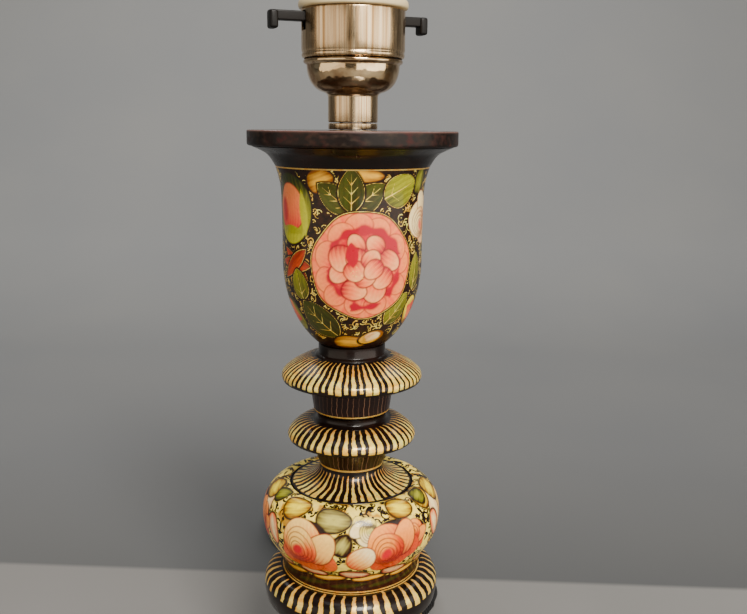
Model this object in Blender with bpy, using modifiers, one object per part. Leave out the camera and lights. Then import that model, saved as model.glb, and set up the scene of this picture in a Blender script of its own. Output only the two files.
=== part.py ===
"""Painted table lamp: a turned, lacquered wooden column on a round foot,
clamped by a hollow threaded tube, with a push-bar bayonet lampholder on top.

Units: outlines and sizes are in millimetres and are scaled to metres by MM.
Frame: +Z up, origin at the centre of the felt pad's underside, front is -Y.
"""
import math

import bmesh
import bpy
from mathutils import Vector

MM = 0.001
GAP = 0.3                     # clearance between pieces that touch

# ---- driving dimensions, millimetres ---------------------------------------
WOOD_STEPS = 24               # segments round a turned wooden piece
METAL_STEPS = 24              # segments round the lampholder's pieces
SMALL_STEPS = 12              # segments round screws, plungers and pins

TUBE_R = 5.0                  # M10 all-thread tube
TUBE_BORE_R = 4.0
WOOD_BORE_R = 5.5             # clearance bore through the column
METAL_BORE_R = 5.3
NUT_CORNER_R = 9.3            # across the corners of the bottom nut

FELT_T = 2.3
FOOT_R = 55.0
FOOT_Z = FELT_T + GAP         # underside of the foot
DOME_R = 38.5                 # painted dome of the foot
DOME_H = 32.0
DOME_Z = 19.0
FOOT_TOP = 53.9
RING_R = 35.2                 # thick striped ring above the foot
RING_TOP = 67.6
BULB_R = 36.0
BULB_TOP = 101.8
SPINDLE_TOP = 160.4
BELL_R = 26.5
BELL_CURVE = 37.2             # height of the bell's rounded bottom
BELL_STRAIGHT_Z = 193.0
BELL_TOP = 235.1
DISC_R = 39.2
DISC_TOP = 241.1

CAP_Z = 243.9                 # bottom of the lampholder's neck
SHELL_R = 18.9
SHELL_Z = 266.6
SHELL_TOP = 283.5
BARREL_TOP = 305.0
BAR_TURN = math.radians(20.8)  # the push bar's direction, from +X towards +Y
BAR_LENGTH = 60.0
BAR_WIDTH = 4.2
BAR_Z = (278.9, 282.3)
BAR_REST_SHIFT = -1.5         # pushed to one side at rest, travel is 3 mm
PLUNGER_OFFSET = 4.75

FLEX_R = 3.5
EXIT_TURN = math.radians(28.0)  # where the flex leaves, from +Y towards +X
EXIT_Z = 9.2
COIL_CENTRE = (-6.8, 165.0)
COIL_INNER = 26.8
COIL_OUTER = 48.2
COIL_Z = (1.0, 15.3)
PLUG_CENTRE = (8.0, 135.5)
PLUG_SIZE = (46.0, 45.0)
PLUG_Z = COIL_Z[1] + GAP

BAR_AXIS = Vector((math.cos(BAR_TURN), math.sin(BAR_TURN), 0.0))
BAR_ACROSS = Vector((-math.sin(BAR_TURN), math.cos(BAR_TURN), 0.0))
EXIT_AXIS = Vector((math.sin(EXIT_TURN), math.cos(EXIT_TURN), 0.0))
UP = Vector((0.0, 0.0, 1.0))


# ---- helpers ---------------------------------------------------------------
def clear_scene():
    for obj in list(bpy.data.objects):
        bpy.data.objects.remove(obj, do_unlink=True)


def new_collection(name):
    collection = bpy.data.collections.new(name)
    bpy.context.scene.collection.children.link(collection)
    return collection


def new_material(name, colour, roughness, metallic=0.0):
    material = bpy.data.materials.new(name)
    material.use_nodes = True
    shader = material.node_tree.nodes["Principled BSDF"]
    shader.inputs["Base Color"].default_value = (*colour, 1.0)
    shader.inputs["Roughness"].default_value = roughness
    shader.inputs["Metallic"].default_value = metallic
    return material


def add_object(name, data, material=None, collection=None):
    obj = bpy.data.objects.new(name, data)
    if material is not None:
        data.materials.append(material)
    (collection or PARTS).objects.link(obj)
    return obj


def aim(obj, place, direction):
    """Put the object's origin at place, in mm, with its Z along direction."""
    obj.location = Vector(place) * MM
    obj.rotation_mode = "QUATERNION"
    obj.rotation_quaternion = Vector(direction).to_track_quat("Z", "Y")
    return obj


def turned(name, outline, steps, material, collection=None):
    """A turned piece: the outline of (radius, height) runs down its outside.

    It is a closed loop when the piece has a bore, and otherwise starts and
    ends on the axis.
    """
    bored = outline[0][0] > 0.0
    mesh = bpy.data.meshes.new(name)
    points = [(r * MM, 0.0, z * MM) for r, z in outline]
    edges = [(i, i + 1) for i in range(len(points) - 1)]
    if bored:
        edges.append((len(points) - 1, 0))
    mesh.from_pydata(points, edges, [])
    obj = add_object(name, mesh, material, collection)
    screw = obj.modifiers.new("turn", "SCREW")
    screw.steps = steps
    screw.render_steps = steps
    screw.use_merge_vertices = True
    screw.merge_threshold = 0.00001
    screw.use_smooth_shade = True
    return obj


def tube(name, outer, inner, low, high, steps, material, collection=None):
    outline = [(inner, high), (outer, high), (outer, low), (inner, low)]
    return turned(name, outline, steps, material, collection)


def rod(name, radius, low, high, steps, material, collection=None):
    outline = [(0.0, high), (radius, high), (radius, low), (0.0, low)]
    return turned(name, outline, steps, material, collection)


def box(name, size, centre, material=None, turn=0.0, bevel=0.0, collection=None):
    mesh = bpy.data.meshes.new(name)
    shape = bmesh.new()
    bmesh.ops.create_cube(shape, size=1.0)
    bmesh.ops.scale(shape, vec=Vector(size) * MM, verts=shape.verts)
    shape.to_mesh(mesh)
    shape.free()
    obj = add_object(name, mesh, material, collection)
    obj.location = Vector(centre) * MM
    obj.rotation_euler = (0.0, 0.0, turn)
    if bevel > 0.0:
        round_off = obj.modifiers.new("round", "BEVEL")
        round_off.width = bevel * MM
        round_off.segments = 1
    return obj


def as_cutter(obj):
    obj.hide_render = True
    obj.display_type = "WIRE"
    return obj


def boolean(obj, cutter, operation="DIFFERENCE"):
    cut = obj.modifiers.new(operation.lower(), "BOOLEAN")
    cut.operation = operation
    cut.solver = "EXACT"
    cut.object = as_cutter(cutter)
    return obj


def smooth_route(corners, spacing):
    """Points every `spacing` mm on a smooth curve through the corners."""
    corners = [Vector(c) for c in corners]
    first = corners[0] * 2.0 - corners[1]
    last = corners[-1] * 2.0 - corners[-2]
    guide = [first, *corners, last]
    route = [corners[0]]
    for before, start, end, after in zip(guide, guide[1:], guide[2:], guide[3:]):
        pieces = max(1, round((end - start).length / spacing))
        for k in range(1, pieces + 1):
            t = k / pieces
            point = 0.5 * (2.0 * start + (end - before) * t
                           + (2.0 * before - 5.0 * start + 4.0 * end - after) * t ** 2
                           + (3.0 * start - before - 3.0 * end + after) * t ** 3)
            route.append(point)
    return route


def cable(name, route, radius, material, resolution=2):
    curve = bpy.data.curves.new(name, "CURVE")
    curve.dimensions = "3D"
    curve.bevel_depth = radius * MM
    curve.bevel_resolution = resolution
    curve.use_fill_caps = True
    spline = curve.splines.new("POLY")
    spline.points.add(len(route) - 1)
    for point, place in zip(spline.points, route):
        point.co = (*(Vector(place) * MM), 1.0)
    return add_object(name, curve, material)


def quarter_ellipse(radius, height, centre_z, stop_r, count, upwards):
    """Points of an ellipse quadrant from its widest point towards stop_r."""
    end = math.acos(stop_r / radius)
    sign = 1.0 if upwards else -1.0
    points = []
    for k in range(count + 1):
        angle = end * k / count
        points.append((radius * math.cos(angle),
                       centre_z + sign * height * math.sin(angle)))
    return points


# ---- the wooden column -----------------------------------------------------
def make_felt_pad():
    rod("felt_pad", FOOT_R - 2.0, 0.0, FELT_T, WOOD_STEPS, FELT)


def make_foot():
    dome = quarter_ellipse(DOME_R, DOME_H, DOME_Z, 17.0, 7, upwards=True)
    outline = [(9.3, FOOT_TOP), (16.6, FOOT_TOP), (17.0, 53.3)]
    outline += reversed(dome)
    outline += [(40.2, 19.0), (46.0, 18.2), (51.0, 16.6), (54.0, 14.3),
                (FOOT_R, 11.5), (FOOT_R, 5.0), (53.6, FOOT_Z)]
    outline += [(30.0, FOOT_Z), (30.0, 20.0), (14.0, 24.0), (14.0, 37.5),
                (WOOD_BORE_R, 37.5), (WOOD_BORE_R, 48.9), (9.3, 48.9)]
    foot = turned("foot", outline, WOOD_STEPS, LACQUER)
    drill = rod("flex_hole", 5.3, 24.0, 62.0, SMALL_STEPS, None, CUTTERS)
    aim(drill, (0.0, 0.0, EXIT_Z), EXIT_AXIS)
    boolean(foot, drill)


def make_lower_ring():
    outline = [(12.3, RING_TOP), (27.6, RING_TOP), (30.0, 67.5), (32.7, 66.2),
               (34.6, 63.7), (RING_R, 61.0), (35.1, 58.0), (34.6, 55.2),
               (33.3, 54.2)]
    outline += [(9.0, 54.2), (9.0, 49.2), (WOOD_BORE_R, 49.2),
                (WOOD_BORE_R, 62.4), (12.3, 62.4)]
    turned("lower_ring", outline, WOOD_STEPS, LACQUER)


def make_bulb():
    outline = [(12.3, BULB_TOP), (25.3, BULB_TOP), (25.5, 102.9), (26.8, 103.6),
               (28.6, 103.4), (31.0, 102.0), (33.4, 99.6), (35.1, 96.6),
               (BULB_R, 93.0), (35.9, 89.6), (35.3, 86.2), (34.2, 83.2),
               (32.4, 80.2), (30.2, 77.0), (28.6, 73.4), (27.1, 67.9)]
    outline += [(12.0, 67.9), (12.0, 62.7), (WOOD_BORE_R, 62.7),
                (WOOD_BORE_R, 96.6), (12.3, 96.6)]
    turned("bulb", outline, WOOD_STEPS, PAINTED)


def make_ring_spindle():
    outline = [(8.3, SPINDLE_TOP), (13.0, SPINDLE_TOP), (13.0, 156.4)]
    upper_ring = [(14.0, 155.6), (17.0, 155.0), (25.5, 150.4), (27.2, 148.7),
                  (27.4, 147.2), (26.6, 145.5)]
    upper_neck = [(16.4, 144.9), (15.0, 133.8), (13.3, 132.6), (13.3, 130.0)]
    middle_ring = [(14.5, 129.3), (17.5, 129.6), (20.5, 128.6), (23.0, 126.6),
                   (24.7, 124.9), (25.2, 123.2), (24.4, 121.6)]
    lower_neck = [(16.4, 121.1), (12.7, 111.3)]
    collar = [(13.0, 109.0), (14.6, 106.6), (17.6, 104.9), (24.9, 103.5),
              (24.9, 102.1)]
    inside = [(12.0, 102.1), (12.0, 96.9), (WOOD_BORE_R, 96.9),
              (WOOD_BORE_R, 155.0), (8.3, 155.0)]
    outline += upper_ring + upper_neck + middle_ring + lower_neck
    outline += collar + inside
    turned("ring_spindle", outline, WOOD_STEPS, LACQUER)


def make_bell():
    cove = [(37.4, BELL_TOP), (34.2, 233.7), (32.4, 232.7), (30.9, 231.2),
            (29.7, 229.4), (28.8, 227.8), (27.6, 223.5), (27.1, 221.0),
            (26.7, 214.0)]
    outline = [(12.3, BELL_TOP)] + cove
    outline += quarter_ellipse(BELL_R, BELL_CURVE, BELL_STRAIGHT_Z, 13.3, 7,
                               upwards=False)
    outline += [(8.0, 160.7), (8.0, 155.3), (WOOD_BORE_R, 155.3),
                (WOOD_BORE_R, 230.5), (12.3, 230.5)]
    turned("bell", outline, WOOD_STEPS, PAINTED)


def make_top_disc():
    outline = [(WOOD_BORE_R, DISC_TOP), (38.2, DISC_TOP), (DISC_R, 240.3),
               (DISC_R, 236.4), (38.0, 235.4), (12.0, 235.4), (12.0, 230.8),
               (WOOD_BORE_R, 230.8)]
    turned("top_disc", outline, WOOD_STEPS, LACQUER)


# ---- the metal that clamps it ----------------------------------------------
def make_clamp():
    tube("threaded_tube", TUBE_R, TUBE_BORE_R, 31.0, 254.6, METAL_STEPS, STEEL)
    tube("bottom_washer", 12.0, METAL_BORE_R, 35.7, 37.2, METAL_STEPS, STEEL)
    hexagon = rod("nut_hexagon", NUT_CORNER_R, 30.4, 36.4, 6, None, CUTTERS)
    nut = tube("bottom_nut", 13.0, METAL_BORE_R, 31.4, 35.4, METAL_STEPS, STEEL)
    boolean(nut, hexagon, "INTERSECT")
    tube("neck_nut", 9.1, METAL_BORE_R, 241.4, 243.6, METAL_STEPS, NICKEL)


# ---- the lampholder --------------------------------------------------------
def make_holder_cap():
    cup = [(16.2, 266.3), (17.6, 266.3), (18.2, 265.9), (18.2, 265.2),
           (17.1, 264.4), (16.9, 262.6), (16.4, 260.2), (15.4, 258.0),
           (13.8, 256.2), (11.8, 255.0), (9.6, 254.2)]
    neck = [(9.2, 253.2), (9.2, 244.3), (8.9, CAP_Z), (METAL_BORE_R, CAP_Z)]
    inside = [(METAL_BORE_R, 255.4), (9.5, 255.8), (12.6, 257.2), (14.6, 259.4),
              (15.8, 262.5)]
    cap = turned("holder_cap", cup + neck + inside, METAL_STEPS, NICKEL)
    hole = rod("grub_hole", 1.7, 4.0, 11.0, SMALL_STEPS, None, CUTTERS)
    aim(hole, (0.0, 0.0, 248.5), (0.0, 1.0, 0.0))
    boolean(cap, hole)
    screw = rod("grub_screw", 1.4, TUBE_R + GAP, 9.0, SMALL_STEPS, STEEL)
    aim(screw, (0.0, 0.0, 248.5), (0.0, 1.0, 0.0))


def make_holder_shell():
    outline = [(14.8, SHELL_TOP), (18.4, SHELL_TOP), (SHELL_R, 283.0),
               (SHELL_R, 268.0), (18.6, 267.0), (18.2, SHELL_Z),
               (17.9, SHELL_Z), (17.9, 282.9), (14.8, 282.9)]
    shell = turned("holder_shell", outline, METAL_STEPS, BRUSHED)
    window = box("bar_window", (50.0, 5.2, 6.8), (0.0, 0.0, 279.3), None,
                 BAR_TURN, collection=CUTTERS)
    boolean(shell, window)


def make_switch_drum():
    outline = [(0.0, 290.5), (10.3, 290.5), (10.8, 290.0), (10.8, 282.5),
               (17.4, 282.5), (17.4, 267.2), (0.0, 267.2)]
    drum = turned("switch_drum", outline, METAL_STEPS, BAKELITE)
    channel = box("bar_channel", (60.0, BAR_WIDTH + 2.0 * GAP, 6.4),
                  (0.0, 0.0, 279.7), None, BAR_TURN, collection=CUTTERS)
    boolean(drum, channel)
    for side in (-1.0, 1.0):
        bore = rod("plunger_bore", 2.3, 284.2, 294.0, SMALL_STEPS, None, CUTTERS)
        bore.location = BAR_ACROSS * side * PLUNGER_OFFSET * MM
        boolean(drum, bore)


def make_push_bar():
    low, high = BAR_Z
    middle = BAR_AXIS * BAR_REST_SHIFT
    bar = box("push_bar", (BAR_LENGTH, BAR_WIDTH, high - low),
              (middle.x, middle.y, (low + high) / 2.0), BAKELITE, BAR_TURN)
    for side in (-1.0, 1.0):
        place = BAR_AXIS * (BAR_REST_SHIFT + side * (BAR_LENGTH / 2.0 - 1.5))
        hook = box("bar_end", (3.001, 5.6, 6.3), (place.x, place.y, high - 3.14),
                   None, BAR_TURN, bevel=0.5, collection=CUTTERS)
        boolean(bar, hook, "UNION")
    place = BAR_AXIS * BAR_REST_SHIFT
    box("bridge_contact", (9.0, 3.4, 1.3), (place.x, place.y, low - GAP - 0.65),
        BRASS, BAR_TURN)


def make_plunger(side, name):
    tip = [(0.0, 294.5), (1.1, 294.2), (1.6, 293.4), (1.6, 290.9), (2.0, 290.6),
           (2.0, 289.0), (0.0, 289.0)]
    place = BAR_ACROSS * side * PLUNGER_OFFSET
    plunger = turned("plunger_" + name, tip, SMALL_STEPS, BRASS)
    plunger.location = place * MM
    turns, low, high = 2.5, 284.9, 288.4
    count = 16
    coil = []
    for k in range(count):
        angle = 2.0 * math.pi * turns * k / (count - 1)
        coil.append(place + Vector((1.5 * math.cos(angle), 1.5 * math.sin(angle),
                                    low + (high - low) * k / (count - 1))))
    cable("plunger_spring_" + name, coil, 0.3, STEEL, 1)


def make_barrel():
    outline = [(11.5, BARREL_TOP), (12.2, BARREL_TOP), (12.2, 283.8),
               (14.4, 283.8), (14.4, 282.9), (11.5, 282.9)]
    barrel = turned("bayonet_barrel", outline, METAL_STEPS, NICKEL)
    for side in (-1.0, 1.0):
        entry = BAR_AXIS * side * 12.0
        slot = box("bayonet_entry", (4.0, 2.8, 10.0), (entry.x, entry.y, 302.0),
                   None, BAR_TURN, collection=CUTTERS)
        boolean(barrel, slot)
        foot = (BAR_AXIS * 11.6 - BAR_ACROSS * 2.3) * side
        hook = box("bayonet_hook", (5.0, 7.0, 2.8), (foot.x, foot.y, 298.4),
                   None, BAR_TURN, collection=CUTTERS)
        boolean(barrel, hook)
    tube("threaded_skirt", 14.2, 12.5, 284.1, 295.6, METAL_STEPS, NICKEL)


def make_shade_ring():
    outline = [(14.5, 293.8), (16.6, 293.8), (17.0, 293.3), (17.0, 287.2),
               (19.4, 286.8), (19.9, 286.2), (19.9, 284.2), (19.5, 283.8),
               (14.7, 283.8), (14.7, 284.6), (14.5, 284.9)]
    turned("shade_ring", outline, METAL_STEPS, CREAM)


def make_terminal(side, name):
    place = BAR_ACROSS * side * 7.0
    post = rod(name + "_terminal", 2.2, 260.9, 266.9, SMALL_STEPS, BRASS)
    post.location = place * MM
    screw = rod(name + "_screw", 1.2, 2.5, 5.5, SMALL_STEPS, STEEL)
    aim(screw, (place.x, place.y, 264.0), BAR_ACROSS * side)
    steps = [(1.4, 257.1), (1.5, 258.1), (3.2, 258.9), (5.6, 259.2), (6.8, 259.8),
             (7.0, 260.6)]
    route = [BAR_ACROSS * side * reach + UP * height for reach, height in steps]
    core = CORE_BROWN if name == "live" else CORE_BLUE
    cable(name + "_core", smooth_route(route, 1.0), 0.9, core, 1)


def make_earth():
    place = BAR_AXIS * 9.0
    box("earth_tag", (1.2, 4.0, 5.0), (place.x, place.y, 262.4), BRASS, BAR_TURN)
    screw = rod("earth_screw", 1.2, 0.9, 3.6, SMALL_STEPS, STEEL)
    aim(screw, (place.x, place.y, 263.0), BAR_AXIS)
    steps = [(2.0, 257.1), (2.2, 258.2), (3.8, 259.3), (6.0, 260.6), (7.0, 261.6),
             (7.3, 262.6)]
    route = [BAR_AXIS * reach + UP * height for reach, height in steps]
    cable("earth_core", smooth_route(route, 1.0), 0.9, CORE_GREEN, 1)


# ---- the flex and its plug -------------------------------------------------
def along_exit(reach, height):
    return EXIT_AXIS * reach + UP * height


def make_inner_flex():
    bend_r = 22.0
    centre_z = EXIT_Z + bend_r
    corners = [along_exit(54.8, EXIT_Z), along_exit(38.0, EXIT_Z)]
    for k in range(6):
        angle = math.pi / 2.0 * k / 5.0
        corners.append(along_exit(bend_r * (1.0 - math.sin(angle)),
                                  centre_z - bend_r * math.cos(angle)))
    corners += [along_exit(0.0, height) for height in (60.0, 160.0, 256.8)]
    route = []
    for start, end in zip(corners, corners[1:]):
        pieces = max(1, min(4, round((end - start).length / 12.0)))
        route += [start.lerp(end, k / pieces) for k in range(pieces)]
    route.append(corners[-1])
    cable("inner_flex", route, FLEX_R, FLEX)


def make_exit():
    bush = tube("exit_bush", 5.0, FLEX_R + GAP, 46.0, 54.6, SMALL_STEPS, FLEX)
    aim(bush, (0.0, 0.0, EXIT_Z), EXIT_AXIS)
    start, length = 55.4, 22.0
    bore = FLEX_R + 0.5
    outline = [(bore, start + length), (4.5, start + length),
               (4.6, start + length - 1.0), (5.2, start + 3.0), (5.6, start + 2.0),
               (5.6, start), (bore, start)]
    relief = turned("strain_relief", outline, SMALL_STEPS, FLEX)
    aim(relief, (0.0, 0.0, EXIT_Z), EXIT_AXIS)


def make_flex_lead():
    """From the foot, down to the table and straight back to the coil."""
    start = along_exit(55.3, EXIT_Z)
    relief_end = along_exit(78.5, EXIT_Z)
    corners = [start, along_exit(67.0, EXIT_Z), relief_end,
               Vector((39.4, 81.5, 6.4)), Vector((38.6, 95.0, 3.7)),
               Vector((36.4, 109.0, FLEX_R)), Vector((34.7, 122.0, FLEX_R)),
               Vector((34.3, 133.5, FLEX_R))]
    cable("flex_lead", smooth_route(corners, 7.0), FLEX_R, FLEX)


def make_flex_coil():
    low, high = COIL_Z
    edge = 2.0
    outline = [(COIL_INNER + edge, high), (COIL_OUTER - edge, high),
               (COIL_OUTER, high - edge), (COIL_OUTER, low + edge),
               (COIL_OUTER - edge, low), (COIL_INNER + edge, low),
               (COIL_INNER, low + edge), (COIL_INNER, high - edge)]
    coil = turned("flex_coil", outline, WOOD_STEPS, FLEX)
    coil.location = (COIL_CENTRE[0] * MM, COIL_CENTRE[1] * MM, 0.0)


def coil_point(radius, degrees, height):
    angle = math.radians(degrees)
    return Vector((COIL_CENTRE[0] + radius * math.cos(angle),
                   COIL_CENTRE[1] + radius * math.sin(angle), height))


def make_flex_tail():
    """The last part turn, on top of the coil, into the plug's end."""
    lie = PLUG_Z + FLEX_R
    entry = PLUG_CENTRE[0] - PLUG_SIZE[0] / 2.0
    corners = [coil_point(40.0, 32.0, lie), coil_point(38.5, 60.0, lie),
               coil_point(37.5, 90.0, lie), coil_point(37.5, 120.0, lie),
               coil_point(37.5, 150.0, lie), coil_point(37.5, 178.0, lie),
               Vector((-41.1, 150.0, lie + 0.6)), Vector((-32.3, 140.0, lie + 2.0)),
               Vector((entry - 6.0, PLUG_CENTRE[1], lie + 3.2)),
               Vector((entry - GAP, PLUG_CENTRE[1], lie + 3.6))]
    cable("flex_tail", smooth_route(corners, 8.0), FLEX_R, FLEX)


def make_coil_tie():
    place = coil_point((COIL_INNER + COIL_OUTER) / 2.0, 6.0, 0.0)
    low, high = COIL_Z
    width = COIL_OUTER - COIL_INNER
    turn = math.radians(6.0)
    band = box("coil_tie", (width + 2.2, 7.0, high + 1.0),
               (place.x, place.y, (high + 1.0) / 2.0), TIE, turn)
    hollow = box("tie_hollow", (width + 0.9, 9.0, high - low + 0.8),
                 (place.x, place.y, (high + low) / 2.0), None, turn,
                 collection=CUTTERS)
    boolean(band, hollow)


def make_plug():
    """A three-pin plug lying on the coil with its pins up."""
    length, width = PLUG_SIZE
    x, y = PLUG_CENTRE
    body_h, cover_h = 11.0, 6.0
    body = box("plug_body", (length, width, body_h), (x, y, PLUG_Z + body_h / 2.0),
               FLEX, bevel=3.0)
    base = PLUG_Z + body_h + GAP
    cover = box("plug_cover", (length - 1.0, width - 1.0, cover_h),
                (x, y, base + cover_h / 2.0), FLEX, bevel=1.2)
    fuse_bay = box("fuse_bay", (27.0, 7.0, 7.0), (x, y - 12.0, base - GAP - 3.3),
                   None, collection=CUTTERS)
    boolean(body, fuse_bay)
    fuse = rod("plug_fuse", 2.9, -12.7, 12.7, SMALL_STEPS, CERAMIC)
    aim(fuse, (x, y - 12.0, base - GAP - 3.2), (1.0, 0.0, 0.0))
    pins = {"earth": (8.0, 4.0, 22.7, 14.0, 0.0),
            "live": (4.0, 6.35, 17.7, -8.0, -11.1),
            "neutral": (4.0, 6.35, 17.7, -8.0, 11.1)}
    top = base + cover_h + GAP
    for name, (thick_x, thick_y, reach, off_x, off_y) in pins.items():
        box("plug_pin_" + name, (thick_x, thick_y, reach),
            (x + off_x, y + off_y, top + reach / 2.0), BRASS, bevel=0.6)
    screw = rod("plug_screw", 3.0, top, top + 1.2, SMALL_STEPS, STEEL)
    screw.location = ((x + 1.5) * MM, y * MM, 0.0)


clear_scene()
PARTS = new_collection("painted_table_lamp")
CUTTERS = new_collection("cutters")

LACQUER = new_material("black_lacquer", (0.015, 0.010, 0.008), 0.22)
PAINTED = new_material("painted_lacquer", (0.30, 0.14, 0.07), 0.22)
FELT = new_material("felt", (0.05, 0.12, 0.07), 0.95)
STEEL = new_material("zinc_steel", (0.55, 0.55, 0.56), 0.35, 1.0)
NICKEL = new_material("polished_nickel", (0.72, 0.68, 0.62), 0.12, 1.0)
BRUSHED = new_material("brushed_nickel", (0.72, 0.68, 0.62), 0.32, 1.0)
BRASS = new_material("brass", (0.78, 0.57, 0.25), 0.25, 1.0)
BAKELITE = new_material("bakelite", (0.035, 0.022, 0.018), 0.35)
CREAM = new_material("cream_plastic", (0.80, 0.72, 0.58), 0.35)
CERAMIC = new_material("fuse_ceramic", (0.85, 0.84, 0.80), 0.4)
FLEX = new_material("black_flex", (0.012, 0.012, 0.013), 0.42)
TIE = new_material("tie", (0.05, 0.05, 0.05), 0.8)
CORE_BROWN = new_material("core_brown", (0.20, 0.08, 0.03), 0.4)
CORE_BLUE = new_material("core_blue", (0.03, 0.12, 0.45), 0.4)
CORE_GREEN = new_material("core_green_yellow", (0.25, 0.45, 0.05), 0.4)

make_felt_pad()
make_foot()
make_lower_ring()
make_bulb()
make_ring_spindle()
make_bell()
make_top_disc()
make_clamp()
make_holder_cap()
make_holder_shell()
make_switch_drum()
make_push_bar()
make_plunger(-1.0, "front")
make_plunger(1.0, "back")
make_barrel()
make_shade_ring()
make_terminal(-1.0, "live")
make_terminal(1.0, "neutral")
make_earth()
make_inner_flex()
make_exit()
make_flex_lead()
make_flex_coil()
make_flex_tail()
make_coil_tie()
make_plug()
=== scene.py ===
"""Looks of a painted table lamp: a turned, lacquered column with hand-painted
flowers and gold stripes, a push-bar bayonet lampholder and a coiled flex.

Frame: metres, +Z up, origin under the middle of the foot, front is -Y.
Outlines, motifs and routes are written in millimetres and scaled by MM.
A turn round the column is in degrees from the front towards +X.
"""
import math

import bmesh
import bpy
import numpy as np
from mathutils import Matrix, Vector


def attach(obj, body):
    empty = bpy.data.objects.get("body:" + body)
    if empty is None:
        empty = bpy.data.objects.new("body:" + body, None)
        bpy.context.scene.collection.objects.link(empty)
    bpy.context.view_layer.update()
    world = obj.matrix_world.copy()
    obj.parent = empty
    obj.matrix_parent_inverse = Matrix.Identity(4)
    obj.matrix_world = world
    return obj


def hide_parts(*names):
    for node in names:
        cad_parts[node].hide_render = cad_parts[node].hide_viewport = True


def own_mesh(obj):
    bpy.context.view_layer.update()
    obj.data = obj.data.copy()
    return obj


MM = 0.001
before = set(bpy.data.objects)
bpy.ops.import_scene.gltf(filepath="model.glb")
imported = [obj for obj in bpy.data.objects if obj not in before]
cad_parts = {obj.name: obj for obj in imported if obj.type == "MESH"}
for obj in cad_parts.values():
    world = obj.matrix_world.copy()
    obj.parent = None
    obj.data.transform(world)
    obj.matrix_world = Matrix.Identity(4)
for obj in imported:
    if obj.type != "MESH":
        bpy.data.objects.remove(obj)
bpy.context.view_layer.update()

# ---- driving values ---------------------------------------------------------
LENS_MM = 41.93               # on a 36 mm wide sensor
CAMERA_PLACE = (8.3, -330.0, 243.0)
CAMERA_PITCH = 11.8           # degrees below the horizon
CAMERA_ROLL = 0.55

BAR_TURN = math.radians(20.8)  # the push bar's direction, from +X towards +Y
EXIT_TURN = math.radians(28.0)  # where the flex leaves, from +Y towards +X
EXIT_REACH = 55.3             # from the axis to where the flex comes out
EXIT_Z = 9.2
FLEX_R = 3.5
COIL_CENTRE = (-6.8, 165.0)
COIL_OUTER = 44.5             # radius of the outer turns
COIL_LAYERS = (4.5, 11.5)     # heights of the flex in the two layers
COIL_TOP = 15.6
PLUG_CENTRE = (8.0, 135.5)
PLUG_SIZE = (46.0, 45.0)
PLUG_SEAM, PLUG_TOP = COIL_TOP + 11.0, COIL_TOP + 17.3
STRAP_TURN = 6.0              # degrees round the coil

BAR_AXIS = Vector((math.cos(BAR_TURN), math.sin(BAR_TURN), 0.0))
BAR_ACROSS = Vector((-math.sin(BAR_TURN), math.cos(BAR_TURN), 0.0))
EXIT_AXIS = Vector((math.sin(EXIT_TURN), math.cos(EXIT_TURN), 0.0))
UP = Vector((0.0, 0.0, 1.0))


def srgb(text):
    """A linear colour from six hexadecimal digits."""
    values = [int(text[k:k + 2], 16) / 255.0 for k in (0, 2, 4)]
    return np.array([v / 12.92 if v <= 0.04045 else ((v + 0.055) / 1.055) ** 2.4
                     for v in values])


def linked(name, data):
    """A new object in the scene that shows this data."""
    made = bpy.data.objects.new(name, data)
    bpy.context.scene.collection.objects.link(made)
    return made


def shades(*texts):
    return tuple(srgb(text) for text in texts)


# ---- camera, stage and lights -----------------------------------------------
def make_camera():
    data = bpy.data.cameras.new("camera")
    data.sensor_width = 36.0
    data.lens = LENS_MM
    data.clip_start = 0.01
    camera = linked("camera", data)
    camera.location = Vector(CAMERA_PLACE) * MM
    tilt = Matrix.Rotation(math.radians(90.0 - CAMERA_PITCH), 4, "X")
    roll = Matrix.Rotation(math.radians(CAMERA_ROLL), 4, "Z")
    camera.rotation_euler = (tilt @ roll).to_euler()
    bpy.context.scene.camera = camera


def area_light(name, turn, rise, distance, size, power, colour):
    """A softbox aimed at the middle of the column."""
    data = bpy.data.lights.new(name, "AREA")
    data.shape = "RECTANGLE"
    data.size, data.size_y = size
    data.energy = power
    data.color = colour
    lamp = linked(name, data)
    a, e = math.radians(turn), math.radians(rise)
    back = Vector((math.sin(a) * math.cos(e), -math.cos(a) * math.cos(e), math.sin(e)))
    lamp.location = Vector((0.0, 0.0, 0.15)) + back * distance
    lamp.rotation_euler = back.to_track_quat("Z", "Y").to_euler()


def make_lights():
    area_light("key", 20.0, 42.0, 1.3, (0.42, 0.42), 29.5, (1.0, 0.95, 0.88))
    area_light("front_left", -50.0, 9.0, 0.85, (1.20, 0.56), 2.6, (1.0, 0.86, 0.70))
    area_light("front_right", 50.0, 9.0, 0.85, (1.40, 0.56), 7.4, (1.0, 0.93, 0.82))
    area_light("back_left", -140.0, 50.0, 1.2, (0.4, 0.5), 2.0, (0.96, 0.98, 1.0))
    area_light("back_right", 140.0, 50.0, 1.2, (0.4, 0.5), 2.0, (0.96, 0.98, 1.0))
    area_light("top", 0.0, 88.0, 1.6, (1.4, 1.4), 12.0, (1.0, 0.98, 0.95))
    world = bpy.data.worlds.new("studio")
    world.use_nodes = True
    background = world.node_tree.nodes["Background"]
    background.inputs["Color"].default_value = (0.42, 0.42, 0.41, 1.0)
    background.inputs["Strength"].default_value = 0.30
    bpy.context.scene.world = world


# ---- materials --------------------------------------------------------------
MATERIALS = {}


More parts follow.
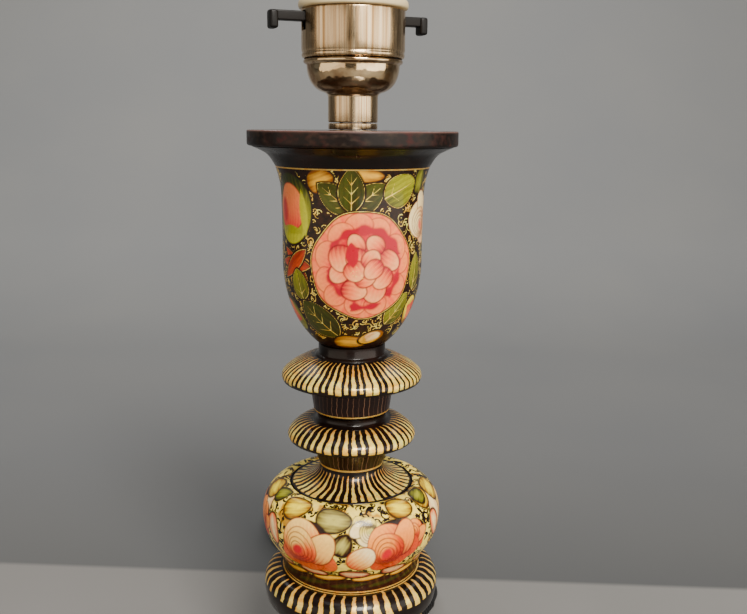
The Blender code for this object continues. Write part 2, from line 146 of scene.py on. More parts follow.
class Shader:
    """A material's node tree, with a short call for each kind of node."""

    def __init__(self, name):
        material = bpy.data.materials.new(name)
        material.use_nodes = True
        MATERIALS[name] = material
        self.tree = material.node_tree
        self.surface = self.tree.nodes["Principled BSDF"]

    def node(self, kind, *values, **settings):
        """A node, its settings, and its first inputs as values or sockets."""
        made = self.tree.nodes.new("ShaderNode" + kind)
        for key, value in settings.items():
            setattr(made, key, value)
        for socket, value in zip(made.inputs, values):
            self.put(socket, value)
        return made

    def put(self, socket, value):
        if isinstance(value, bpy.types.NodeSocket):
            self.tree.links.new(value, socket)
        elif value is not None:
            socket.default_value = value

    def set(self, **values):
        """Sets the surface's inputs, as in base_color=... or coat_weight=..."""
        for key, value in values.items():
            name = key.replace("_", " ").title().replace("Ior", "IOR")
            self.put(self.surface.inputs[name], value)

    def math(self, operation, a, b=0.0):
        return self.node("Math", a, b, operation=operation).outputs[0]

    def times(self, a, b):
        return self.math("MULTIPLY", a, b)

    def plus(self, a, b):
        return self.math("ADD", a, b)

    def minus(self, a, b):
        return self.math("SUBTRACT", a, b)

    def place(self):
        return self.node("TexCoord").outputs["Object"]

    def map_split(self):
        """The turn round the piece and the way down its outline, each 0 to 1."""
        split = self.node("SeparateXYZ", self.node("TexCoord").outputs["UV"])
        return split.outputs[0], split.outputs[1]

    def noise(self, scale, detail=2.0, vector=None, stretch=None):
        vector = self.place() if vector is None else vector
        if stretch is not None:
            vector = self.node("Mapping", vector, None, None, stretch).outputs[0]
        made = self.node("TexNoise", vector)
        made.inputs["Scale"].default_value = scale
        made.inputs["Detail"].default_value = detail
        return made.outputs["Fac"]

    def span(self, value, low, high, start=0.0, end=1.0):
        """value mapped from low..high onto start..end, clamped."""
        return self.node("MapRange", value, low, high, start, end).outputs[0]

    def cloud(self, scale, detail, low, high, start=0.0, end=1.0):
        """Noise between low and high mapped onto start..end."""
        return self.span(self.noise(scale, detail), low, high, start, end)

    def mix(self, factor, a, b):
        """Two colours mixed, each a socket, a linear colour or hexadecimal text."""
        made = self.node("Mix", data_type="RGBA")
        self.put(made.inputs["Factor"], factor)
        for socket, colour in ((made.inputs[6], a), (made.inputs[7], b)):
            if isinstance(colour, str):
                colour = srgb(colour)
            if not isinstance(colour, bpy.types.NodeSocket):
                colour = (*colour, 1.0)
            self.put(socket, colour)
        return made.outputs[2]

    def attribute(self, name, output="Fac"):
        return self.node("Attribute", attribute_name=name).outputs[output]

    def random(self, value):
        return self.node("TexWhiteNoise", None, value,
                         noise_dimensions="1D").outputs["Value"]

    def bump(self, height, distance, strength=1.0):
        made = self.node("Bump")
        made.inputs["Strength"].default_value = strength
        made.inputs["Distance"].default_value = distance
        self.put(made.inputs["Height"], height)
        self.put(self.surface.inputs["Normal"], made.outputs[0])


LACQUER_BLACK = srgb("100805")
LACQUER_BROWN = srgb("2a0f08")
GOLD = srgb("ffc444")
GOLD_PALE = srgb("fff480")
GOLD_DARK = srgb("8e4410")


def gold_colour(shader):
    """Powdery gold paint: brighter and darker strokes."""
    patches = shader.cloud(420.0, 3.0, 0.35, 0.65)
    strokes = shader.cloud(1500.0, 1.0, 0.3, 0.7)
    warm = shader.mix(patches, GOLD, GOLD_PALE)
    return shader.mix(shader.times(strokes, 0.24), warm, GOLD_DARK)


def black_colour(shader):
    """Black lacquer with the brown of the wood just showing in it."""
    return shader.mix(shader.cloud(90.0, 3.0, 0.5, 0.8, 0.0, 0.5),
                      LACQUER_BLACK, LACQUER_BROWN)


def varnish(shader, gilt, relief=None):
    """The finish over black and gold alike, with the gold a little metallic."""
    shader.set(metallic=shader.times(gilt, 0.38))
    shader.set(roughness=shader.cloud(260.0, 2.0, 0.3, 0.7, 0.26, 0.38))
    shader.set(specular_ior_level=0.16, coat_weight=0.22, coat_roughness=0.10)
    uneven = shader.noise(160.0, 2.0)
    height = uneven if relief is None else shader.plus(uneven, relief)
    shader.bump(height, 0.00012, 0.6)


def black_lacquer():
    shader = Shader("black_lacquer")
    shader.set(base_color=black_colour(shader))
    varnish(shader, 0.0)


def worn_lacquer():
    """Black lacquer rubbed through to red-brown in patches. The rounded top edge is
    painted a light pinkish brown: partly rubbed lacquer, partly a painted highlight.
    """
    shader = Shader("worn_lacquer")
    patches = shader.noise(330.0, 7.0, stretch=(1.0, 1.0, 1.6))
    worn = shader.span(patches, 0.46, 0.72)
    rubbed = shader.mix(shader.cloud(110.0, 3.0, 0.4, 0.6), "34120f", "2c2118")
    up = shader.node("SeparateXYZ", shader.node("NewGeometry").outputs["Normal"])
    # Painted highlight, partly rubbed lacquer: faces that slope up just below the flat top
    # are mixed towards a light pinkish brown.
    rim = shader.times(shader.span(up.outputs[2], 0.05, 0.6, 0.0, 0.7),
                      shader.span(up.outputs[2], 0.9, 0.99, 1.0, 0.0))
    body = shader.mix(worn, black_colour(shader), rubbed)
    shader.set(base_color=shader.mix(rim, body, "705048"))
    shader.set(roughness=shader.span(worn, 0.0, 1.0, 0.40, 0.6))
    shader.set(coat_weight=shader.span(up.outputs[2], 0.5, 0.95, 0.06, 1.0))
    shader.set(specular_ior_level=0.2, coat_roughness=0.2)
    shader.bump(shader.noise(300.0, 4.0), 0.0001, 0.7)


def gold_line():
    shader = Shader("gold_line")
    shader.set(base_color=shader.mix(0.5, gold_colour(shader), "a0583c"))
    varnish(shader, 1.0)


def stripe_places(shader, count, lean_scale, waver):
    """Counts stripes round a turn: which one it is, how far across from its
    middle, and the way down the outline."""
    turn, down = shader.map_split()
    place = shader.node("TexCoord").outputs["UV"]
    lean = shader.noise(lean_scale, 1.0, vector=place)
    turns = shader.plus(shader.times(turn, float(count)),
                        shader.span(lean, 0.3, 0.7, -waver, waver))
    which = shader.math("FLOOR", turns)
    across = shader.math("ABSOLUTE", shader.minus(shader.math("FRACT", turns), 0.5))
    return which, across, down


def gold_stripes(name, count, inner, outer, ends=(0.02, 0.97)):
    """Hand-painted gold wedges round a ring: inner and outer are the share of
    the turn that is gold at the two ends of the outline."""
    shader = Shader(name)
    which, across, down = stripe_places(shader, count, 3.0, 0.16)
    chance = shader.random(which)
    other = shader.random(shader.plus(which, 0.37))
    half = shader.times(shader.span(down, 0.0, 1.0, inner, outer), 0.5)
    half = shader.times(half, shader.span(chance, 0.0, 1.0, 0.55, 1.30))
    half = shader.plus(half, shader.cloud(900.0, 2.0, 0.3, 0.7, -0.035, 0.035))
    edge = shader.span(shader.minus(half, across), -0.035, 0.035)
    start = shader.span(other, 0.0, 1.0, ends[0], ends[0] + 0.10)
    stop = shader.span(chance, 0.0, 1.0, ends[1] - 0.07, ends[1])
    begun = shader.span(shader.minus(down, start), -0.01, 0.01)
    left = shader.span(shader.minus(stop, down), -0.012, 0.012)
    gilt = shader.times(edge, shader.times(begun, left))
    # Some stripes are duller at random. On top of that, a painted shade darkens every
    # stripe towards orange-brown at its inner end.
    dull_and_shaded = shader.plus(shader.span(other, 0.0, 1.0, 0.0, 0.20),
                       shader.span(down, 0.1, 0.7, 0.45, 0.0))
    tone = shader.mix(dull_and_shaded, gold_colour(shader), "b4502c")
    shader.set(base_color=shader.mix(gilt, black_colour(shader), tone))
    varnish(shader, gilt, shader.times(gilt, 0.35))


def gold_threads(name, count, share):
    """Fine upright gold lines round a neck, some faint."""
    shader = Shader(name)
    which, across, _ = stripe_places(shader, count, 2.0, 0.2)
    edge = shader.span(across, share * 0.5 - 0.02, share * 0.5 + 0.02, 1.0, 0.0)
    faint = shader.span(shader.random(which), 0.0, 1.0, 0.04, 0.36)
    gilt = shader.times(edge, faint)
    dark = shader.mix(0.35, black_colour(shader), LACQUER_BROWN)
    shader.set(base_color=shader.mix(gilt, dark, "d8a07c"))
    varnish(shader, gilt)


def painted_lacquer():
    """The flowers: colours and the distances to ink and gold lines are on the
    points of the mesh, so that the lines stay sharp between the points."""
    shader = Shader("painted_lacquer")
    brushed = shader.cloud(700.0, 4.0, 0.3, 0.7, 0.0, 0.16)
    tone = shader.mix(brushed, shader.attribute("paint", "Color"), "6a3a20")
    ink = shader.span(shader.attribute("ink"), -0.07, 0.07, 1.0, 0.0)
    gilt = shader.span(shader.attribute("gilt"), -0.07, 0.07, 1.0, 0.0)
    inked = shader.mix(ink, tone, black_colour(shader))
    shader.set(base_color=shader.mix(gilt, inked, gold_colour(shader)))
    varnish(shader, gilt, shader.times(gilt, 0.3))


def metal(name, colour, tint, rough):
    """Plain metal with fine marks."""
    shader = Shader(name)
    marks = shader.noise(900.0, 4.0)
    shader.set(base_color=shader.mix(shader.cloud(110.0, 3.0, 0.35, 0.65), colour, tint),
               metallic=1.0, roughness=shader.span(marks, 0.3, 0.7, rough, rough + 0.12))
    shader.bump(marks, 0.00001, 0.5)


def polished_nickel():
    """Thin bright plate over pressed metal, a little wavy and stained."""
    shader = Shader("polished_nickel")
    stain = shader.cloud(150.0, 4.0, 0.35, 0.65)
    shader.set(base_color=shader.mix(stain, "ecd0a4", "a47c54"))
    shader.set(metallic=1.0)
    shader.set(roughness=shader.span(stain, 0.0, 1.0, 0.08, 0.20))
    shader.bump(shader.noise(170.0, 2.0), 0.0009, 0.5)


def brushed_nickel():
    """Fine upright brush marks round a cylinder, in brighter and duller bands."""
    shader = Shader("brushed_nickel")
    split = shader.node("SeparateXYZ", shader.place())
    turn = shader.math("ARCTAN2", split.outputs[1], split.outputs[0])
    along = shader.times(split.outputs[2], 0.8)
    place = shader.node("CombineXYZ", turn, along, 0.0).outputs[0]
    fine = shader.noise(90.0, 4.0, vector=place)
    broad = shader.noise(14.0, 4.0, vector=place)
    shader.set(base_color=shader.mix(shader.span(broad, 0.35, 0.65), "ecd2aa", "a88458"))
    shader.set(metallic=1.0)
    shader.set(roughness=shader.span(fine, 0.35, 0.65, 0.16, 0.30))
    shader.bump(fine, 0.00002, 0.2)


def moulded(name, colour, tint, rough, shine=0.5):
    """Moulded plastic, rubber or phenolic with a faint texture."""
    shader = Shader(name)
    grain = shader.noise(500.0, 3.0)
    shader.set(specular_ior_level=shine,
               base_color=shader.mix(shader.cloud(100.0, 3.0, 0.35, 0.65), colour, tint),
               roughness=shader.span(grain, 0.3, 0.7, rough, rough + 0.12))
    shader.bump(grain, 0.00004, 0.5)


def cloth(name, colour, tint, size):
    shader = Shader(name)
    fibres = shader.noise(size, 5.0)
    shader.set(base_color=shader.mix(shader.span(fibres, 0.35, 0.65), colour, tint),
               roughness=shader.span(fibres, 0.3, 0.7, 0.85, 1.0), sheen_weight=0.4)
    shader.bump(fibres, 0.0003, 0.8)


def backdrop():
    """A pale table in front, with grey paper behind the lamp that carries painted shade:
    darker near the lamp and low down, lighter further back, higher up and to the left.
    """
    shader = Shader("backdrop")
    split = shader.node("SeparateXYZ", shader.place())
    across, back, up = split.outputs
    slant = shader.plus(back, shader.times(across, 0.05))
    far = shader.span(slant, 0.1075, 0.1115)
    mottle = shader.noise(5.0, 3.0)
    table = shader.mix(shader.span(mottle, 0.3, 0.7), "6e6d6a", "767472")
    paper = shader.mix(shader.span(mottle, 0.3, 0.7), "939597", "999a9a")
    # Painted shade: the paper is mixed towards black near the lamp and low down. It
    # lightens further back, higher up and towards -X.
    painted_shade_grade = shader.plus(shader.span(back, 0.10, 0.30, 0.24, 0.42),
                        shader.span(back, 0.30, 0.90, 0.0, 0.36))
    painted_shade_grade = shader.plus(painted_shade_grade, shader.span(up, 0.10, 0.50, 0.0, 0.18))
    painted_shade_grade = shader.plus(painted_shade_grade, shader.span(across, -0.6, 0.6, 0.08, -0.08))
    paper = shader.mix(painted_shade_grade, "000000", paper)
    shader.set(base_color=shader.mix(far, table, paper))
    shader.set(roughness=shader.span(mottle, 0.3, 0.7, 0.75, 0.9))


def make_materials():
    for make in (black_lacquer, worn_lacquer, gold_line, painted_lacquer,
                 polished_nickel, brushed_nickel, backdrop):
        make()
    gold_threads("threads_neck", 46, 0.11)
    gold_stripes("stripes_upper_ring", 60, 0.20, 0.70)
    gold_stripes("stripes_middle_ring", 46, 0.16, 0.68)
    gold_stripes("stripes_collar", 42, 0.22, 0.64, (0.04, 1.02))
    gold_stripes("stripes_lower_ring", 48, 0.22, 0.66, (0.0, 0.72))
    gold_stripes("stripes_foot", 96, 0.30, 0.56)
    metal("zinc_steel", "b9bcc0", "a9abad", 0.28)
    metal("brass", "d9b068", "b98d48", 0.22)
    moulded("bakelite", "0a0807", "130e0c", 0.40, 0.22)
    moulded("cream_plastic", "dccaa0", "cdb88a", 0.28)
    moulded("black_flex", "0c0c0d", "141416", 0.45, 0.3)
    moulded("core_brown", "7a4a26", "6b3f20", 0.4)
    moulded("core_blue", "2a55a0", "244a8e", 0.4)
    moulded("core_green_yellow", "8ca02a", "3f7a2c", 0.4)
    moulded("fuse_ceramic", "ece9df", "e2ddd0", 0.3)
    cloth("felt", "24402d", "2f5238", 1400.0)
    cloth("tie", "1d1d1f", "2c2c2f", 1800.0)


def make_stage():
    """A floor that sweeps up into a wall far behind the lamp."""
    width, front, bend, back, height = 3.0, -3.0, 0.60, 1.35, 0.90
    outline = [(front, 0.0), (0.0, 0.0), (bend, 0.0)]
    outline += [(bend + (back - bend) * math.sin(a), height * (1.0 - math.cos(a)))
                for a in np.linspace(0.06, math.pi / 2.0, 26)]
    outline.append((back, 2.0 * height))
    verts = [(x, y, z - 0.0003) for y, z in outline for x in (-width, width)]
    faces = [(2 * k, 2 * k + 1, 2 * k + 3, 2 * k + 2) for k in range(len(outline) - 1)]
    mesh = bpy.data.meshes.new("floor")
    mesh.from_pydata(verts, [], faces)
    mesh.shade_smooth()
    mesh.materials.append(MATERIALS["backdrop"])
    linked("floor", mesh)


# ---- meshes -----------------------------------------------------------------
def smooth(points, spacing=0.4):
    """Points every `spacing` mm along a smooth curve through the given ones."""
    guide = np.array(points, float)
    steps = np.linalg.norm(np.diff(guide, axis=0), axis=1)
    reach = np.concatenate([[0.0], np.cumsum(steps)])
    slope = np.gradient(guide, reach, axis=0)
    at = np.linspace(0.0, reach[-1], max(2, round(reach[-1] / spacing)) + 1)
    k = np.clip(np.searchsorted(reach, at, side="right") - 1, 0, len(reach) - 2)
    gap = (reach[k + 1] - reach[k])[:, None]
    u = ((at - reach[k])[:, None]) / gap
    curve = ((2 * u ** 3 - 3 * u ** 2 + 1) * guide[k]
             + (u ** 3 - 2 * u ** 2 + u) * gap * slope[k]
             + (3 * u ** 2 - 2 * u ** 3) * guide[k + 1]
             + (u ** 3 - u ** 2) * gap * slope[k + 1])
    return [tuple(point) for point in curve]


def ellipse_arc(radius, height, centre_z, first, last, count):
    """Outline points on an upright ellipse, from one angle to another in degrees."""
    return [(radius * math.cos(math.radians(a)),
             centre_z + height * math.sin(math.radians(a)))
            for a in np.linspace(first, last, count)]


def finished(name, mesh, node, *materials, body="stand", slot=None):
    """Links a mesh as a piece that rides on a body and stands for a CAD node.

    The slot argument is not used.
    """
    mesh.name = name
    for material in materials:
        mesh.materials.append(MATERIALS[material])
    piece = linked(name, mesh)
    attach(piece, body)
    if node is not None:
        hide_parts(node)
    return piece


def soften(mesh, degrees=35.0):
    mesh.shade_smooth()
    mesh.set_sharp_from_angle(angle=math.radians(degrees))


def turned_mesh(spans, segments):
    """A turned shape from spans of its outline, each (material number, points).

    The spans follow on, down the outside and back up the bore, or start and
    end on the axis. The UV map holds the turn and the way down each span.
    """
    rows, bands = [], []
    for number, points in spans:
        points = [tuple(p) for p in points]
        if rows and math.dist(rows[-1], points[0]) < 1e-6:
            points = points[1:]
            start = len(rows) - 1
        else:
            start = len(rows)
            if rows:
                bands.append((start - 1, 0.0, 1.0, number))
        rows += points
        ways = np.array(rows[start:])
        reach = np.concatenate([[0.0], np.cumsum(np.hypot(*np.diff(ways, axis=0).T))])
        reach /= max(reach[-1], 1e-9)
        bands += [(start + k, reach[k], reach[k + 1], number)
                  for k in range(len(reach) - 1)]
    if rows[0][0] > 0.0:
        bands.append((len(rows) - 1, 0.0, 1.0, spans[-1][0]))
    radius, height = np.array(rows).T * MM
    angle = np.arange(segments) * 2.0 * math.pi / segments
    points = np.stack([radius[:, None] * np.sin(angle), -radius[:, None] * np.cos(angle),
                       np.repeat(height[:, None], segments, axis=1)], axis=2)
    upper = np.array([band[0] for band in bands])
    lower = (upper + 1) % len(rows)
    here = np.arange(segments)
    after = (here + 1) % segments
    corners = np.stack(np.broadcast_arrays(
        lower[:, None] * segments + here, lower[:, None] * segments + after,
        upper[:, None] * segments + after, upper[:, None] * segments + here), axis=2)
    mesh = bpy.data.meshes.new("turned")
    mesh.from_pydata(points.reshape(-1, 3), [], corners.reshape(-1, 4).tolist())
    first = np.array([band[1] for band in bands])[:, None]
    last = np.array([band[2] for band in bands])[:, None]
    left = (here / segments)[None, :]
    right = left + 1.0 / segments
    ways = np.stack(np.broadcast_arrays(left, last, right, last,
                                        right, first, left, first), axis=2)
    mesh.uv_layers.new(name="turn_and_way").data.foreach_set(
        "uv", ways.astype(np.float32).ravel())
    numbers = np.repeat([band[3] for band in bands], segments).astype(np.int32)
    mesh.polygons.foreach_set("material_index", numbers)
    if rows[0][0] <= 0.0:
        close_poles(mesh)
    soften(mesh)
    return mesh


def turned(outline, segments):
    """A turned shape from one outline, all of one material."""
    return turned_mesh([(0, outline)], segments)


def rod(radius, low, high, segments):
    """A plain cylinder round +Z."""
    return turned([(0.0, high), (radius, high), (radius, low), (0.0, low)], segments)


def close_poles(mesh):
    """Merges the points that meet on the axis and drops the empty faces."""
    shape = bmesh.new()
    shape.from_mesh(mesh)
    bmesh.ops.remove_doubles(shape, verts=shape.verts, dist=1e-7)
    shape.to_mesh(mesh)
    shape.free()


def boolean_cut(piece, shapes, operation="DIFFERENCE"):
    """Cuts the shapes out of a piece, or joins them on, and leaves a plain mesh."""
    cutters = [linked("cutter", shape) for shape in shapes]
    for cutter in cutters:
        cut = piece.modifiers.new("cut", "BOOLEAN")
        cut.operation = operation
        cut.solver = "EXACT"
        cut.object = cutter
    bpy.context.view_layer.update()
    graph = bpy.context.evaluated_depsgraph_get()
    made = bpy.data.meshes.new_from_object(piece.evaluated_get(graph))
    piece.modifiers.clear()
    piece.data = made
    soften(made)
    for cutter in cutters:
        bpy.data.objects.remove(cutter)
    return piece


def block_mesh(size, bevel, segments=4):
    """A box with its edges rounded, centred on its own origin, in mm."""
    shape = bmesh.new()
    bmesh.ops.create_cube(shape, size=1.0)
    bmesh.ops.scale(shape, vec=Vector(size) * MM, verts=shape.verts)
    if bevel > 0.0:
        bmesh.ops.bevel(shape, geom=shape.edges[:], offset=bevel * MM,
                        segments=segments, profile=0.5, affect="EDGES")
    mesh = bpy.data.meshes.new("block")
    shape.to_mesh(mesh)
    shape.free()
    return mesh


def moved(mesh, place, turn=0.0):
    """The mesh turned about +Z and moved to a place in mm."""
    mesh.transform(Matrix.Translation(Vector(place) * MM) @ Matrix.Rotation(turn, 4, "Z"))
    return mesh


def aimed(mesh, place, direction):
    """The mesh with its +Z turned along a direction and moved to a place in mm."""
    turn = Vector(direction).to_track_quat("Z", "Y").to_matrix().to_4x4()
    mesh.transform(Matrix.Translation(Vector(place) * MM) @ turn)
    return mesh


def tube(name, route, radius, roundness):
    """A round cord or wire with closed ends along points in mm, as a curve."""
    data = bpy.data.curves.new(name, "CURVE")
    data.dimensions = "3D"
    data.bevel_depth = radius * MM
    data.bevel_resolution = roundness
    data.use_fill_caps = True
    spline = data.splines.new("POLY")
    spline.points.add(len(route) - 1)
    for point, place in zip(spline.points, route):
        point.co = (*(Vector(place) * MM), 1.0)
    return linked(name, data)


# ---- painting ---------------------------------------------------------------
FAR = 9.0                     # mm: no line anywhere near
EDGE = 0.45                   # mm over which two paints meet


def blend(a, b, t):
    """Colours from a to b, one for each value of t."""
    t = np.clip(t, 0.0, 1.0)[:, None]
    return a * (1.0 - t) + b * t


def ellipse(x, y, long, wide):
    """Distance in mm to an ellipse's edge, negative inside it."""
    near = np.hypot(x / long, y / wide) + 1e-6
    steep = np.hypot(x / long ** 2, y / wide ** 2) + 1e-6
    return near * (near - 1.0) / steep


def lens(x, y, half_length, half_width):
    """Distance to a pointed leaf outline that lies along x."""
    radius = (half_length ** 2 + half_width ** 2) / (2.0 * half_width)
    return np.hypot(x, np.abs(y) + radius - half_width) - radius


def stroke(x, y, ends, width):
    """Distance to a straight brush stroke between two points."""
    (ax, ay), (bx, by) = ends
    dx, dy = bx - ax, by - ay
    along = np.clip(((x - ax) * dx + (y - ay) * dy) / (dx * dx + dy * dy + 1e-9), 0, 1)
    taper = width * (1.0 - 0.55 * along)
    return np.hypot(x - ax - along * dx, y - ay - along * dy) - taper / 2.0


def hook(x, y, radius, first, sweep, width):
    """Distance to a curved stroke: part of a circle round the origin."""
    angle = np.arctan2(y, x) - first
    angle = np.mod(angle, 2.0 * math.pi)
    along = np.where(angle < sweep, angle / sweep, 0.0)
    inside = angle < sweep
    ends = [(radius * math.cos(first + a), radius * math.sin(first + a))
            for a in (0.0, sweep)]
    to_ends = np.minimum(np.hypot(x - ends[0][0], y - ends[0][1]),
                         np.hypot(x - ends[1][0], y - ends[1][1]))
    ring = np.abs(np.hypot(x, y) - radius)
    return np.where(inside, ring - width * (1.0 - 0.6 * along) / 2.0,
                    to_ends - width * 0.2)


class Canvas:
    """What is painted on a turned surface: a colour for each point, and how far
    the point is from the nearest ink and gold line."""

    def __init__(self, outline, segments, seed):
        self.rng = np.random.default_rng(seed)
        outline = np.array(outline)
        steps = np.hypot(*np.diff(outline, axis=0).T)
        lift = -np.concatenate([[0.0], np.cumsum(steps)])
        self.heights = outline[::-1, 1]
        self.radii = outline[::-1, 0]
        self.lifts = lift[::-1]
        self.turn = np.tile(np.arange(segments) * 360.0 / segments, len(outline))
        self.radius = np.repeat(outline[:, 0], segments)
        self.lift = np.repeat(lift, segments)
        self.height = np.repeat(outline[:, 1], segments)
        self.paint = np.tile(LACQUER_BLACK, (len(self.turn), 1))
        self.ink = np.full(len(self.turn), FAR)
        self.gilt = np.full(len(self.turn), FAR)

    def spot(self, turn, height, reach, lean=0.0):
        return Spot(self, turn, np.interp(height, self.heights, self.lifts), reach,
                    math.radians(lean))

    def scatter(self, count, low, high, reach):
        """Random places between two heights, spread evenly along the outline."""
        ends = np.interp((low, high), self.heights, self.lifts)
        for turn, lift, lean in zip(self.rng.uniform(0.0, 360.0, count),
                                    self.rng.uniform(*ends, count),
                                    self.rng.uniform(0.0, 2.0 * math.pi, count)):
            yield Spot(self, turn, lift, reach, lean)

    def phase(self):
        """A random start for brush marks."""
        return self.rng.uniform(0.0, 6.0)

    def onto(self, mesh):
        """Writes the painting onto the turned mesh that has this outline."""
        places = np.empty(len(mesh.vertices) * 3, np.float32)
        mesh.vertices.foreach_get("co", places)
        start = np.array((0.0, -self.radii[-1], self.heights[-1])) * MM
        first = int(np.argmin(((places.reshape(-1, 3) - start) ** 2).sum(axis=1)))
        last = first + len(self.turn)
        colours = np.ones((len(mesh.vertices), 4), np.float32)
        colours[first:last, :3] = self.paint
        mesh.color_attributes.new("paint", "FLOAT_COLOR", "POINT").data.foreach_set(
            "color", colours.ravel())
        for name in ("ink", "gilt"):
            values = np.full(len(mesh.vertices), FAR, np.float32)
            values[first:last] = getattr(self, name)
            mesh.attributes.new(name, "FLOAT", "POINT").data.foreach_set("value", values)


class Spot:
    """The part of a canvas near a place, with x and y in mm from that place."""

    def __init__(self, canvas, turn, lift, reach, lean):
        self.canvas = canvas
        x = np.radians(np.mod(canvas.turn - turn + 180.0, 360.0) - 180.0) * canvas.radius
        y = canvas.lift - lift
        self.near = np.flatnonzero(x * x + y * y < reach * reach)
        x, y = x[self.near], y[self.near]
        self.x = x * math.cos(lean) + y * math.sin(lean)
        self.y = y * math.cos(lean) - x * math.sin(lean)

    def frame(self, x, y, lean):
        """Coordinates along and across a shape at (x, y) that leans by an angle."""
        dx, dy = self.x - x, self.y - y
        return (dx * math.cos(lean) + dy * math.sin(lean),
                dy * math.cos(lean) - dx * math.sin(lean))

    def cover(self, shape, colour):
        """Paints a shape over everything, lines included."""
        canvas, near = self.canvas, self.near
        share = np.clip(0.5 - shape / EDGE, 0.0, 1.0)[:, None]
        canvas.paint[near] = canvas.paint[near] * (1.0 - share) + colour * share
        canvas.ink[near] = np.maximum(canvas.ink[near], -shape)
        canvas.gilt[near] = np.maximum(canvas.gilt[near], -shape)

    def tint(self, shape, colour, soft, most=1.0):
        """A soft wash over the paint, with no edge."""
        share = most * np.clip(0.5 - shape / soft, 0.0, 1.0)[:, None]
        canvas, near = self.canvas, self.near
        canvas.paint[near] = canvas.paint[near] * (1.0 - share) + colour * share

    def ink(self, line):
        canvas, near = self.canvas, self.near
        canvas.ink[near] = np.minimum(canvas.ink[near], line)
        canvas.gilt[near] = np.maximum(canvas.gilt[near], -line)

    def gild(self, line):
        canvas, near = self.canvas, self.near
        canvas.gilt[near] = np.minimum(canvas.gilt[near], line)
        canvas.ink[near] = np.maximum(canvas.ink[near], -line)


def streaks(across, along, fineness, phase):
    """Brush marks that run along a shape."""
    return (np.sin(across * fineness + phase + 0.8 * np.sin(along * 0.9 + phase))
            + 0.6 * np.sin(across * fineness * 2.3 + 2.0 * phase))


def petal(spot, x, y, lean, long, wide, colours, edge, phase=None):
    """A round petal that lies outwards along `lean`, deep at its root."""
    phase = spot.canvas.phase() if phase is None else phase
    deep, middle, pale = colours
    along, across = spot.frame(x, y, lean)
    shape = ellipse(along, across * (1.0 + 0.12 * along / long), long, wide)
    rise = 0.5 + 0.5 * along / long + 0.07 * streaks(across, along, 4.0, phase)
    fill = np.where((rise < 0.4)[:, None], blend(deep, middle, rise / 0.4),
                    blend(middle, pale, (rise - 0.4) / 0.45))
    spot.cover(shape - edge, deep * 0.35 + LACQUER_BROWN * 0.65)
    spot.cover(shape, fill)


def open_rose(canvas, turn, height, radius, colours):
    """A full rose from the front: a pale rim, deep hollows, then round petals."""
    rng = canvas.rng
    deep, middle, pale = colours
    spot = canvas.spot(turn, height, radius * 1.3, 0.0)
    distance = np.hypot(spot.x, spot.y)
    angle = np.arctan2(spot.y, spot.x)
    rim = radius * (1.0 + 0.016 * np.sin(7.0 * angle) + 0.012 * np.sin(4.0 * angle + 1.0))
    spot.cover(distance - rim - 1.1, LACQUER_BLACK)
    spot.gild(np.abs(distance - rim - 0.5) - 0.12)
    rays = streaks(angle * 16.0, distance * 0.4, 1.5, 0.4)
    spot.cover(distance - rim, blend(middle, pale, 0.70 * distance / radius + 0.20 * rays))
    for k in range(11):
        lean = 2.0 * math.pi * (k + rng.uniform(-0.2, 0.2)) / 11.0
        reach = radius * rng.uniform(0.74, 0.80)
        petal(spot, reach * math.cos(lean), reach * math.sin(lean), lean, radius * 0.20,
              radius * rng.uniform(0.20, 0.27),
              (deep * 0.5 + middle * 0.5, middle * 0.4 + pale * 0.6, pale), 0.26)
    spot.tint(distance - radius * 0.62, deep * 0.6 + middle * 0.4, 2.4, 0.9)
    for start, sweep, reach, width in (
            (15.0, 140.0, 0.68, 0.24), (-50.0, 66.0, 0.72, 0.15),
            (185.0, 70.0, 0.66, 0.14), (255.0, 40.0, 0.80, 0.16)):
        line = hook(spot.x, spot.y, radius * reach, math.radians(start),
                    math.radians(sweep), radius * width)
        spot.tint(line - 0.5 * np.sin(13.0 * angle), deep, 0.9, 1.0)
    for count, reach, size, first in ((8, 0.48, 0.205, 0.3), (5, 0.19, 0.175, 0.9)):
        for k in rng.permutation(count):
            lean = first + 2.0 * math.pi * (k + rng.uniform(-0.2, 0.2)) / count
            far = radius * reach * rng.uniform(0.88, 1.12)
            long = radius * size * rng.uniform(0.85, 1.20)
            petal(spot, far * math.cos(lean), far * math.sin(lean),
                  lean + rng.uniform(-2.2, 2.2), long, long * rng.uniform(0.78, 1.0),
                  (deep, middle * 0.35 + pale * 0.65, pale * 0.8 + CREAM[2] * 0.2), 0.42)
    x, y = spot.frame(-radius * 0.22, radius * 0.22, 1.65)
    spot.cover(lens(x, y, radius * 0.24, radius * 0.12), deep)
    for _ in range(12):
        x, y = spot.frame(rng.uniform(-0.24, 0.08) * radius,
                          rng.uniform(-0.3, 0.0) * radius, 0.0)
        spot.gild(np.hypot(x, y) - 0.22)


